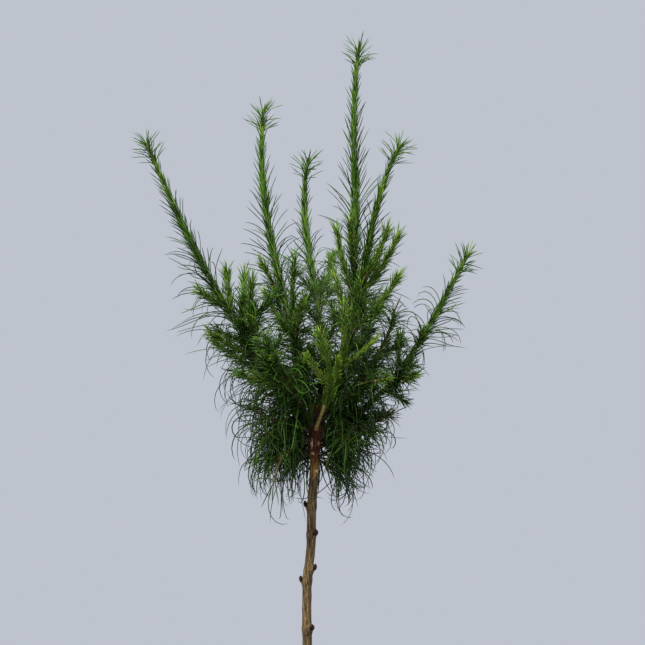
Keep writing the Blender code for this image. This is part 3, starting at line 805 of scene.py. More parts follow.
@dataclass
class Stem:
    """The bare stem: a flare at the soil, a slight lean, old buds and the swollen graft.

    Each kind of relief has a scale, round the stem and along it, and a depth. scale_turns says to
    which side each scale of a bud leans. bends gives the height of each bend and how far to the
    right the middle lies there. buds gives the height of each old bud and the way that it faces,
    in degrees from +X.
    """

    foot: float = 0.1503
    graft: float = 0.470
    head: float = 0.489
    foot_radius: float = 0.0045
    radius: float = 0.0036
    taper_rate: float = 1.6
    head_radius: float = 0.0056
    head_length: float = 0.045
    head_swell: float = 0.45
    dome: float = 0.0035
    dome_share: float = 0.03
    dome_least: float = 0.04
    flare: float = 0.0050
    flare_height: float = 0.009
    flare_lobes: int = 3
    flare_depth: float = 0.35
    flare_turn: float = 0.7
    bend_spread: float = 0.006
    sides: int = 96
    cuts: int = 20
    crack_scale: Range = (3.2, 62.0)
    crack_depth: float = 0.00022
    crack_narrowness: float = 7.0
    lump_scale: Range = (1.1, 120.0)
    lump_depth: float = 0.00035
    grain_scale: Range = (9.0, 900.0)
    grain_depth: float = 0.00009
    plate_scale: Range = (2.4, 190.0)
    plate_depth: float = 0.00055
    plate_share: float = 0.6
    plate_height: float = 0.440
    plate_spread: float = 0.018
    bud_radius: float = 0.0024
    bud_length: float = 0.0050
    bud_rise: float = 0.0010
    bud_lean: float = 0.16
    bud_sink: float = 0.0012
    bud_belly: float = 0.0004
    bud_spread: float = 0.45
    bud_width: float = 0.8
    bud_thickness: float = 0.8
    scale_turns: tuple[float, ...] = (0.0, -0.8, 0.8)
    scale_size: float = 0.8
    scale_rings: int = 9
    scale_sides: int = 10
    node_rise: float = 0.0010
    node_swell: float = 0.00045
    node_spread: float = 0.0034
    cushion: float = 0.0012
    cushion_spread: float = 0.0024
    bends: tuple[Range, ...] = (
        (0.150, -0.0015), (0.240, 0.0022), (0.320, 0.0006), (0.348, 0.0008), (0.375, 0.0040),
        (0.410, 0.0046), (0.436, 0.0066), (0.455, 0.0068), (0.489, 0.0080),
    )
    buds: tuple[Range, ...] = (
        (0.205, 120), (0.243, -30), (0.282, 200), (0.3115, -42),
        (0.350, 186), (0.3595, -14), (0.3875, -48), (0.410, 184),
    )

    def offset(self, height: float) -> float:
        """How far to the right the middle of the stem lies at a height."""
        samples = (height - self.bend_spread, height, height + self.bend_spread)
        return float(np.mean(np.interp(samples, *zip(*self.bends))))

    def centre(self, height: float) -> Array:
        """The middle of the stem at a height."""
        return np.array((self.offset(height), 0.0, height))

    def girth(self, height: float, angle: float = 0.0) -> float:
        """The stem's radius without its bark relief.

        Args:
            height: The height above the pot's underside.
            angle: The way round, from +X.

        Returns:
            The radius.
        """
        rise = (height - self.foot) / (self.graft - self.foot)
        radius = self.foot_radius + (self.radius - self.foot_radius) * min(rise * self.taper_rate, 1)
        lobes = 1 + self.flare_depth * (math.cos(self.flare_lobes * angle + self.flare_turn) - 1)
        radius += self.flare * math.exp(-(height - self.foot) / self.flare_height) * lobes
        into_head = height - self.head + self.head_length
        above = max(0.0, min(1.0, into_head / (self.head_length * self.head_swell)))
        return radius + (self.head_radius - self.radius) * above * above * (3 - 2 * above)

    def relief(self, height: float, angle: float) -> float:
        """How far the bark stands out: cracks, lumps, grain, plates at the graft and bud cushions.

        Args:
            height: The height above the pot's underside.
            angle: The way round, from +X.

        Returns:
            The height of the relief.
        """
        cracks = abs(noise.noise(self.wrapped(height, angle, self.crack_scale)))
        lumps = noise.noise(self.wrapped(height, angle, self.lump_scale, 7))
        grain = noise.noise(self.wrapped(height, angle, self.grain_scale))
        raised = self.lump_depth * lumps + self.grain_depth * grain
        raised -= self.crack_depth * max(0.0, 1 - cracks * self.crack_narrowness)
        near = max(0.0, min(1.0, (height - self.plate_height) / self.plate_spread))
        if near > 0:
            cell = noise.cell(self.wrapped(height, angle, self.plate_scale))
            raised += near * self.plate_depth * (self.plate_share * cell + self.plate_share * lumps)
        for place, facing in self.buds:
            rise = (height - place + self.node_rise) / self.node_spread
            if abs(rise) < 3:
                turn = math.remainder(angle - math.radians(facing), math.tau)
                aside = self.radius * turn / self.cushion_spread
                swell = self.node_swell + self.cushion * math.exp(-aside * aside)
                raised += math.exp(-rise * rise) * swell
        return raised

    @staticmethod
    def wrapped(height: float, angle: float, scale: Range, start: float = 0.0) -> Vector:
        """Where the relief of a place on the bark is read, so that it closes round the stem."""
        across, along = scale
        return Vector((math.cos(angle) * across, math.sin(angle) * across, height * along + start))

    def bark(self) -> Piece:
        """Draw a fine cylinder along the stem's bends, with its bark in relief.

        Returns:
            The stem.
        """
        deselect_all()
        bpy.ops.mesh.primitive_cylinder_add(vertices=self.sides, radius=1, depth=1, location=(0, 0, 0))
        stem = bpy.context.object
        for _ in range(2):
            self.cut_across(stem)
        for vert in stem.data.vertices:
            vert.co = self.shaped(*vert.co)
        stem.name = stem.data.name = "stem_bark"
        bpy.ops.object.transform_apply(location=True, rotation=True, scale=True)
        return stem

    def cut_across(self, stem: Piece) -> None:
        """Cut every upright edge of a cylinder into equal lengths.

        Args:
            stem: The cylinder.
        """
        bpy.ops.object.mode_set(mode="EDIT")
        bpy.ops.mesh.select_mode(type="EDGE")
        bpy.ops.mesh.select_all(action="DESELECT")
        bpy.ops.object.mode_set(mode="OBJECT")
        points = stem.data.vertices
        for edge in stem.data.edges:
            low, high = (points[i].co.z for i in edge.vertices)
            edge.select = abs(high - low) > 1e-6
        bpy.ops.object.mode_set(mode="EDIT")
        bpy.ops.mesh.subdivide(number_cuts=self.cuts)
        bpy.ops.object.mode_set(mode="OBJECT")

    def shaped(self, x: float, y: float, z: float) -> Vector:
        """Where a point of the plain cylinder goes on the stem.

        Args:
            x: Across, on a cylinder of radius 1.
            y: Depth, on a cylinder of radius 1.
            z: The height, from -0.5 at the foot to 0.5 at the head.

        Returns:
            The point in the plant's frame.
        """
        angle = math.atan2(y, x)
        share = (z + 0.5) / (1 - self.dome_share)
        shrink, rise = 1.0, 0.0
        if share > 1:
            round_over = min(1.0, (share - 1) / (1 / (1 - self.dome_share) - 1)) * math.pi / 2
            shrink = max(self.dome_least, math.cos(round_over))
            rise = self.dome * math.sin(round_over)
        height = self.foot + (self.head - self.foot) * min(share, 1.0)
        radius = (self.girth(height, angle) + self.relief(height, angle)) * shrink
        return Vector((
            self.offset(height) + radius * math.cos(angle), radius * math.sin(angle), height + rise
        ))

    def bud_scales(self) -> Patch:
        """Shape the old buds, each of three overlapping scales.

        Returns:
            The buds.
        """
        shares = np.linspace(0, 1, self.scale_rings)[:, None]
        swell = np.sin(np.linspace(0.75, math.pi, self.scale_rings)) ** 0.5
        patches = []
        for place, facing in self.buds:
            angle = math.radians(facing)
            out = np.array((math.cos(angle), math.sin(angle), 0.0))
            across = np.cross(UP, out)
            seat = self.centre(place) + out * (self.girth(place, angle) + self.bud_rise)
            lines, sizes = [], []
            for turn in self.scale_turns:
                size = self.scale_size if turn else 1
                lean = unit(out * self.bud_lean + UP + across * self.bud_lean * turn)
                foot = seat + across * (turn * self.bud_radius * self.bud_spread) - UP * self.bud_sink
                belly = out * self.bud_belly * np.sin(shares * 3)
                lines.append(foot + lean * shares * self.bud_length * size + belly)
                sizes.append(self.bud_radius * size * self.bud_width * swell)
            wide = np.array(sizes)
            facing_out = np.repeat(out[None], len(lines), 0)
            thin = wide * self.bud_thickness
            patches.append(swept(np.array(lines), thin, wide, facing_out, self.scale_sides, True))
        return Patch.joined(patches)

    def build(self) -> None:
        """Make the stem and its buds and dress them."""
        stem = self.bark()
        stem.data.materials.append(BarkFinish().material())
        stem.data.shade_smooth()
        dress(stem, "bark", "trunk")
        dress(self.bud_scales().mesh_object("stem_buds", OLD_BUD.material()), "bark")


@dataclass(frozen=True)
class Shoot:
    """One needle-bearing stem: its middle line from foot to tip, and its radius at each end."""

    line: Array
    foot_radius: float
    tip_radius: float
    limb: Limb
    order: Order

    def upright(self) -> bool:
        """Whether this is a short shoot that stands up, with young straight needles."""
        return self.order is Order.SIDE and not self.limb.droop

    def lengths(self) -> Array:
        """The distance from the foot to each point of the line."""
        steps = np.linalg.norm(np.diff(self.line, axis=0), axis=1)
        return np.concatenate(([0.0], np.cumsum(steps)))

    def at(self, distances: Array) -> tuple[Array, Array]:
        """Places on the shoot.

        Args:
            distances: How far each lies from the foot.

        Returns:
            The places and the shoot's directions there.
        """
        lengths = self.lengths()
        ways = unit(np.gradient(self.line, axis=0))
        places = np.stack([np.interp(distances, lengths, self.line[:, i]) for i in range(3)], -1)
        headings = np.stack([np.interp(distances, lengths, ways[:, i]) for i in range(3)], -1)
        return places, unit(headings)

    def radii(self, distances: Array) -> Array:
        """The stem's radius at distances from its foot."""
        share = distances / self.lengths()[-1]
        return self.foot_radius + (self.tip_radius - self.foot_radius) * share


@dataclass
class Stance:
    """How needles stand and bend, in rows of arrays with one row for each needle.

    A needle leaves its root at lean_foot from the shoot's heading and would end at lean_tip. On its
    way it also bends: fall is how far its slope changes from root to tip, swirl how far it turns
    round the upright, and hook how far its last part bends on. All are angles.
    """

    lean_foot: Array
    lean_tip: Array
    lengths: Array
    falls: Array
    swirls: Array
    hooks: Array


@dataclass
class Needles(Stance):
    """Needles that stand in a way, with their roots, their widths and the number of their Tint.

    outs are the ways that they lean from their shoot's headings. fronts says which needles grow on
    a close limb, in front of the others.
    """

    roots: Array
    headings: Array
    outs: Array
    widths: Array
    tints: Array
    fronts: Array

    HOOK_START = 0.42
    HOOK_POWER = 1.5
    FALL_POWER = 0.85
    FLATNESS = 0.70
    TAPER_SHARES = (0, 0.12, 0.7, 0.92, 1)
    TAPER = (0.7, 1, 0.95, 0.6, 0.1)

    @staticmethod
    def joined(sets: list[Needles]) -> Needles:
        """Put several sets end to end."""
        names = [entry.name for entry in fields(Needles)]
        return Needles(*(np.concatenate([getattr(one, name) for one in sets]) for name in names))

    def chosen(self, keep: Array) -> Needles:
        """The needles that a mask or a slice picks."""
        return Needles(*(getattr(self, entry.name)[keep] for entry in fields(Needles)))

    def lines(self, rings: int) -> Array:
        """Draw the needles' middle lines.

        Args:
            rings: How many points each line has.

        Returns:
            The points, as (needle, ring, axis).
        """
        points = np.empty((len(self.roots), rings, 3))
        points[:, 0] = self.roots
        step = (self.lengths / (rings - 1))[:, None]
        for ring in range(1, rings):
            share = (ring - 0.5) / (rings - 1)
            lean = (self.lean_foot + (self.lean_tip - self.lean_foot) * share)[:, None]
            way = self.headings * np.cos(lean) + self.outs * np.sin(lean)
            late = max(share - self.HOOK_START, 0.0) / (1 - self.HOOK_START)
            slope = np.arcsin(np.clip(way[:, 2], -1, 1)) + self.hooks * late**self.HOOK_POWER
            slope -= self.falls * share**self.FALL_POWER
            bearing = np.arctan2(way[:, 1], way[:, 0]) + self.swirls * share
            flat = np.cos(slope)
            way = np.stack((flat * np.cos(bearing), flat * np.sin(bearing), np.sin(slope)), -1)
            points[:, ring] = points[:, ring - 1] + way * step
        return points

    def patch(self, rings: int) -> Patch:
        """Sweep the needles as closed blades of four sides that taper to a point.

        Args:
            rings: How many rings each blade has.

        Returns:
            The blades.
        """
        taper = np.interp(np.linspace(0, 1, rings), self.TAPER_SHARES, self.TAPER)
        wide = self.widths[:, None] * taper * 0.5
        return swept(self.lines(rings), wide * self.FLATNESS, wide, self.headings, 4, True)


@dataclass(frozen=True)
class Site:
    """Where needles of one habit root on a shoot: a row for each needle.

    ages are distances below the shoot's tip. lows and limp say how far down the crown they root
    and how limp they are, from 0 to 1.
    """

    shoot: Shoot
    headings: Array
    outs: Array
    ages: Array
    lows: Array
    limp: Array


@dataclass(frozen=True)
class Lean:
    """How far a standing needle leans from its shoot, in degrees, and what adds to it.

    young counts at the shoot's tip, grown and late further and further below it, and low near the
    graft.
    """

    least: float
    young: float
    grown: float
    late: float
    low: float

    def at(self, young: Array, grown: Array, late: Array, lows: Array) -> Array:
        """The leans of needles by how much of each counts for them."""
        return (
            self.least + self.young * young + self.grown * grown + self.late * late + self.low * lows
        )


@dataclass(frozen=True)
class Score:
    """How dark a green needles get, counted in tints, and what changes it.

    grown counts below the shoot's tip, low near the graft, and fresh on a yellower limb. low stands
    for older needles and also for painted shade in the dark heart of the crown.
    """

    least: float
    grown: float
    low: float
    fresh: float = 1.0

    def at(self, grown: Array, lows: Array, fresh: float) -> Array:
        """The scores of needles by how much of each counts for them."""
        return self.least + self.grown * grown + self.low * lows - self.fresh * fresh


@dataclass(frozen=True)
class OrderRule:
    """How the needles of leaders, short shoots and spurs differ.

    star_depth is a share of the deepest star, star_leans and pressed_lean are in degrees, and the
    sizes, breadths and standing_gap are shares of what is usual. Needles are grown at grown_age
    below the tip, and shade makes them darker, or lighter below 0: on the spurs inside the crown it
    is painted shade. Standing needles have their full breadth.
    """

    star_count: int
    star_depth: float
    star_leans: Range
    star_size: float
    pressed_lean: float
    pressed_size: float
    standing_gap: float
    grown_age: float
    shade: float
    breadths: dict[Habit, float]


WIDER = {Habit.STAR: 0.85, Habit.PRESSED: 0.82}
FINER = {Habit.STAR: 0.72, Habit.PRESSED: 0.70}
ORDER_RULES: dict[Order, OrderRule] = {
    Order.LEADER: OrderRule(36, 1.0, (16, 74), 1.30, 12, 1.0, 1.0, 0.10, 0.3, WIDER),
    Order.SIDE: OrderRule(26, 0.6, (4, 34), 0.95, 23, 1.4, 1.25, 0.05, -0.5, FINER),
    Order.SPUR: OrderRule(20, 0.4, (4, 40), 0.85, 22, 1.0, 1.0, 0.10, 0.9, FINER),
}
SCORES: dict[Habit, Score] = {
    Habit.STAR: Score(1.6, 1.2, 0.6),
    Habit.PRESSED: Score(1.15, 1.4, 0.6),
    Habit.STANDING: Score(3.0, 0.7, 0.4, 0.9),
}


@dataclass(frozen=True)
class NeedleRule:
    """How long needles are and how they stand, by their age, their height and their habit.

    A pitch is the distance between two needles along the shoot. Ranges are those of chance, and a
    spray is a run of needles that share one green.
    """

    tip_length: float = 0.0125
    long_length: float = 0.036
    low_length: float = 0.039
    length_per_age: float = 0.19
    even_age: float = 0.030
    green_age: float = 0.010
    ripe_age: float = 0.055
    limp_ripe_age: float = 0.017
    young_height: float = 0.610
    old_height: float = 0.480
    lax_height: float = 0.665
    fresh_youth: float = 0.85
    close_length: float = 0.7
    upright_limpness: float = 0.5
    upright_growth: float = 0.62
    limp_height: float = 0.500
    droop_green: float = 0.8
    droop_length: float = 0.75
    low_lift: float = 0.35
    droop_lift: float = 0.35
    width: float = 0.00106
    width_range: Range = (0.8, 1.1)
    thinning: float = 0.0000022
    seat: float = 0.8
    turn_range: Range = (-0.3, 0.3)
    depthwise: float = 0.9
    star_depth: float = 0.0180
    star_power: float = 0.9
    star_droop: float = 0.8
    star_narrowing: float = 0.45
    star_range: Range = (0.85, 1.15)
    star_fall: float = 0.15
    pressed_start: float = 0.002
    pressed_pitch: float = 0.00039
    pressed_droop: float = 4.0
    pressed_low: float = 2.2
    pressed_least: float = 4.0
    pressed_close: float = 1.5
    pressed_grown: float = 3.0
    pressed_lowness: float = 5.0
    pressed_tip_length: float = 0.005
    pressed_per_age: float = 0.13
    pressed_length: float = 0.016
    pressed_range: Range = (0.8, 1.2)
    pressed_fall: float = 0.30
    straight_foot: float = 0.9
    straight_tip: float = 1.15
    straight_swirl: float = 0.05
    standing_start: float = 0.003
    standing_pitch: float = 0.0014
    low_pitch: float = 0.00063
    standing_range: Range = (0.70, 1.18)
    standing_foot: float = 0.92
    standing_tip: float = 1.02
    low_opening: float = 5.0
    narrow: Lean = Lean(13, 5, 8, 0, 6)
    wide: Lean = Lean(25, 16, 8, 16, 40)
    late_age: float = 0.08
    young_age: float = 0.02
    hang: float = 77.0
    hang_chance: float = 32.0
    heavy_length: float = 0.042
    limp_weight: float = 1.25
    droop_weight: float = 0.5
    least_limp: float = 0.02
    most_fall: float = 1.15
    fall_floor: float = 0.55
    fall_droop: float = 0.2
    swirl: Range = (0.04, 1.0)
    hook_mean: float = -0.1
    hook_chance: float = 1.3
    hook_most: float = 2.3
    hook_length: float = 0.024
    grown_age: float = 0.10
    end_gap: float = 0.003
    pitch_range: Range = (0.75, 1.25)
    spray: int = 5
    tint_chance: float = 0.65
    tint_low_chance: float = 0.6
    tint_fresh: float = 0.6
    droop_shade: float = 1.2
    tint_least: float = 2.9

    def sunk(self, heights: Array, top: float, bottom: float, limb: Limb) -> Array:
        """How far heights are on the way from a top to a bottom, and less on a fresh limb."""
        share = np.clip((top - heights) / (top - bottom), 0, 1)
        return share * (1 - self.fresh_youth * min(limb.fresh, 1.0))

    def lowness(self, heights: Array, limb: Limb) -> Array:
        """How old needles look at heights, from 0 among the young tips to 1 at the graft."""
        return self.sunk(heights, self.young_height, self.old_height, limb)

    def laxness(self, heights: Array, limb: Limb) -> Array:
        """How limp needles are at heights, from 0 high up to 1 near the graft."""
        return self.sunk(heights, self.lax_height, self.limp_height, limb)

    def length(self, ages: Array, lows: Array, droop: float) -> Array:
        """The length of standing needles.

        Args:
            ages: Their distances below the shoot's tip.
            lows: How far down the crown they root.
            droop: How much their limb droops.

        Returns:
            The lengths.
        """
        ripe_age = self.ripe_age + (self.limp_ripe_age - self.ripe_age) * droop
        green_age = self.green_age * (1 - self.droop_green * droop)
        ripe = np.clip((ages - green_age) / ripe_age, 0, 1)
        older = np.maximum(ages - self.even_age, 0)
        grown = np.minimum(self.tip_length + self.length_per_age * older, self.long_length)
        return grown + self.low_length * lows * ripe * (1 + self.droop_length * droop)

    def shortness(self, site: Site) -> float:
        """The share of their usual length that needles on a close limb have."""
        return 1 - self.close_length * site.shoot.limb.close

    def depth_of_star(self, shoot: Shoot) -> float:
        """How far down from the tip a shoot's star of needles reaches."""
        return self.star_depth * ORDER_RULES[shoot.order].star_depth

    def distances(self, shoot: Shoot, habit: Habit, rng: Chance) -> Array:
        """Choose where needles of one habit stand along a shoot.

        Args:
            shoot: The shoot that carries them.
            habit: How they stand.
            rng: The source of chance.

        Returns:
            Their distances from the shoot's foot.
        """
        total = shoot.lengths()[-1]
        order = ORDER_RULES[shoot.order]
        if habit is Habit.STAR:
            count = int(order.star_count * (1 - self.star_droop * shoot.limb.droop))
            return total - self.depth_of_star(shoot) * rng.random(count) ** self.star_power
        if habit is Habit.PRESSED:
            along, gap = self.pressed_start, 1.0
            pitch = self.pressed_pitch * (1 + self.pressed_droop * shoot.limb.droop)
            low_pitch = pitch * self.pressed_low
        else:
            along, gap = self.standing_start, order.standing_gap
            pitch, low_pitch = self.standing_pitch, self.low_pitch
        found = []
        while along < total - self.end_gap:
            low = float(self.lowness(shoot.at(np.array([along]))[0][:, 2], shoot.limb)[0])
            found.append(along)
            step = (pitch + (low_pitch - pitch) * low) * (1 + shoot.limb.sparse) * gap
            along += step * rng.uniform(*self.pitch_range)
        return np.array(found)

    def tint(self, site: Site, habit: Habit, rng: Chance) -> Array:
        """Deal a green to each spray.

        Args:
            site: Where the needles root.
            habit: How the needles stand.
            rng: The source of chance.

        Returns:
            The number of a Tint for each needle.
        """
        sprays = np.arange(len(site.ages)) // self.spray
        chance = rng.normal(0, self.tint_chance, len(site.ages) // self.spray + 1)[sprays]
        chance = chance * (1 + self.tint_low_chance * site.lows)
        fresh = site.shoot.limb.fresh
        order = ORDER_RULES[site.shoot.order]
        if habit is Habit.STAR:
            grown = np.clip(site.ages / self.depth_of_star(site.shoot), 0, 1)
        else:
            grown = np.clip(site.ages / order.grown_age, 0, 1)
            grown = grown * (1 - self.tint_fresh * min(fresh, 1.0))
        score = SCORES[habit].at(grown, site.lows, fresh)
        # Painted shade: drooping limbs are dealt darker greens, and standing needles low in the crown
        # get no light ones.
        old = self.droop_shade * site.shoot.limb.droop
        least = np.round(self.tint_least * site.lows) if habit is Habit.STANDING else 0
        darkest = len(Tint) - 1
        return np.clip(np.round(score + order.shade + old + chance), least, darkest).astype(int)

    def straight(self, leans: Array, lengths: Array, falls: Array, rng: Chance) -> Stance:
        """Stand needles that are all but straight.

        Args:
            leans: How far each leans from the shoot.
            lengths: Their lengths.
            falls: How far each bends down.
            rng: The source of chance.

        Returns:
            How they stand.
        """
        swirls = rng.normal(0, self.straight_swirl, len(leans))
        foot, tip = leans * self.straight_foot, leans * self.straight_tip
        return Stance(foot, tip, lengths, falls, swirls, hooks=np.zeros(len(leans)))

    def starred(self, site: Site, rng: Chance) -> Stance:
        """Stand the open star of needles round a shoot's tip.

        Args:
            site: Where they root.
            rng: The source of chance.

        Returns:
            How they stand.
        """
        count = len(site.ages)
        order = ORDER_RULES[site.shoot.order]
        depth = np.clip(site.ages / self.depth_of_star(site.shoot), 0, 1)
        narrow, wide = order.star_leans
        narrowest = narrow + self.star_narrowing * (wide - narrow) * depth
        leans = np.radians(narrowest + (wide - narrowest) * rng.random(count))
        leans = leans * (1 - site.shoot.limb.close)
        length = self.tip_length * order.star_size * self.shortness(site)
        lengths = length * rng.uniform(*self.star_range, count)
        return self.straight(leans, lengths, self.star_fall * site.limp, rng)

    def pressed(self, site: Site, rng: Chance) -> Stance:
        """Lay needles along a shoot, where they make its green core.

        Args:
            site: Where they root.
            rng: The source of chance.

        Returns:
            How they stand.
        """
        count = len(site.ages)
        order = ORDER_RULES[site.shoot.order]
        close = site.shoot.limb.close
        grown = np.clip(site.ages / self.grown_age, 0, 1)
        widest = order.pressed_lean * (1 + self.pressed_close * close)
        leans = rng.uniform(self.pressed_least, widest, count)
        leans = np.radians(leans + self.pressed_grown * grown + self.pressed_lowness * site.lows)
        size = (1.0 if close else order.pressed_size) * self.shortness(site)
        lengths = self.pressed_tip_length + self.pressed_per_age * site.ages
        lengths = np.minimum(lengths, self.pressed_length) * size
        lengths = lengths * rng.uniform(*self.pressed_range, count)
        return self.straight(leans, lengths, self.pressed_fall * site.limp, rng)

    def standing(self, site: Site, rng: Chance) -> Stance:
        """Stand needles out of a shoot: straight high up, long, limp and hooked low down.

        Args:
            site: Where they root.
            rng: The source of chance.

        Returns:
            How they stand.
        """
        count = len(site.ages)
        droop = site.shoot.limb.droop
        grown = np.clip(site.ages / self.grown_age, 0, 1)
        late = np.clip((site.ages - self.late_age) / self.grown_age, 0, 1)
        young = np.exp(-site.ages / self.young_age)
        lows = site.lows * (self.upright_growth if site.shoot.upright() else 1)
        narrowest = self.narrow.at(young, grown, late, lows)
        widest = self.wide.at(young, grown, late, lows)
        leans = np.radians(narrowest + (widest - narrowest) * rng.random(count))
        leans = leans * (1 - site.shoot.limb.close)
        lengths = self.length(site.ages, lows, droop) * self.shortness(site)
        lengths = lengths * rng.uniform(*self.standing_range, count)
        foot = leans * self.standing_foot
        way = site.headings * np.cos(foot)[:, None] + site.outs * np.sin(foot)[:, None]
        slope = np.arcsin(np.clip(way[:, 2], -1, 1))
        hang = np.radians(self.hang + self.hang_chance * rng.normal(0, 1, count))
        limp = np.clip(site.limp * self.limp_weight + self.droop_weight * droop, self.least_limp, 1)
        heavy = np.clip(lengths / self.heavy_length, 0, self.most_fall) * limp
        share = rng.uniform(self.fall_floor + self.fall_droop * droop, self.most_fall, count)
        least_swirl, limp_swirl = self.swirl
        swirls = rng.normal(0, 1, count) * (least_swirl + limp_swirl * site.limp)
        hooks = rng.normal(self.hook_mean, self.hook_chance, count)
        hooks = np.clip(hooks, -self.hook_most, self.hook_most) * site.limp
        return Stance(
            lean_foot=foot,
            lean_tip=leans * self.standing_tip + math.radians(self.low_opening) * site.lows,
            lengths=lengths,
            falls=(slope + hang) * np.clip(heavy * share, 0, 1),
            swirls=swirls,
            hooks=hooks * (lengths > self.hook_length),
        )

    def grow(self, shoot: Shoot, habit: Habit, rng: Chance) -> Needles:
        """Grow all needles of one habit on a shoot.

        Args:
            shoot: The shoot that carries them.
            habit: How they stand.
            rng: The source of chance.

        Returns:
            The needles.
        """
        distances = self.distances(shoot, habit, rng)
        count = len(distances)
        places, headings = shoot.at(distances)
        lows = self.lowness(places[:, 2], shoot.limb)
        if habit is Habit.STANDING:
            lift = self.low_lift * lows + self.droop_lift * shoot.limb.droop
            headings = unit(headings + UP * lift[:, None])
        turns = rng.uniform(0, math.tau) + GOLDEN_ANGLE * np.arange(count)
        turns = turns + rng.uniform(*self.turn_range, count)
        depthwise = np.abs(headings[:, 1:2]) > self.depthwise
        side = unit(np.cross(headings, np.where(depthwise, RIGHT, BACK)))
        outs = side * np.cos(turns)[:, None] + np.cross(headings, side) * np.sin(turns)[:, None]
        limp = self.laxness(places[:, 2], shoot.limb)
        limp = limp * (self.upright_limpness if shoot.upright() else 1)
        site = Site(shoot, headings, outs, shoot.lengths()[-1] - distances, lows, limp)
        rules = {Habit.STAR: self.starred, Habit.PRESSED: self.pressed, Habit.STANDING: self.standing}
        stance = rules[habit](site, rng)
        widths = self.width - self.thinning * stance.lengths * 1000
        widths = widths * rng.uniform(*self.width_range, count)
        return Needles(
            **vars(stance),
            roots=places + outs * (shoot.radii(distances) * self.seat)[:, None],
            headings=headings,
            outs=outs,
            widths=widths * ORDER_RULES[shoot.order].breadths.get(habit, 1.0),
            tints=self.tint(site, habit, rng),
            fronts=np.full(count, shoot.limb.close > 0),
        )


@dataclass(frozen=True)
class Outline:
    """How far the lower crown reaches to the left and to the right of the stem, by height.

    Between front and back it reaches as far as the mean of the two sides. A needle that would pass
    it is left out, but for a few strays.
    """

    rows: tuple[tuple[float, float, float], ...] = (
        (0.380, 0.024, 0.026), (0.404, 0.036, 0.044), (0.422, 0.044, 0.052), (0.444, 0.056, 0.060),
        (0.470, 0.062, 0.070), (0.486, 0.070, 0.080), (0.502, 0.080, 0.094), (0.518, 0.090, 0.108),
    )
    top: float = 0.530
    stray: float = 0.0045

    def excess(self, lines: Array) -> Array:
        """Measure how far needles pass the outline.

        Args:
            lines: Their middle lines, as (needle, ring, axis).

        Returns:
            The distance for each needle, which is below 0 inside.
        """
        heights, left, right = np.array(self.rows).T
        x, y, z = lines[..., 0], lines[..., 1], lines[..., 2]
        lefts, rights = np.interp(z, heights, left), np.interp(z, heights, right)
        aside = np.where(x < 0, lefts, rights)
        deep = (lefts + rights) / 2
        share = np.hypot(x / aside, y / deep)
        return np.where(z < self.top, (share - 1) * deep, -1.0).max(axis=1)


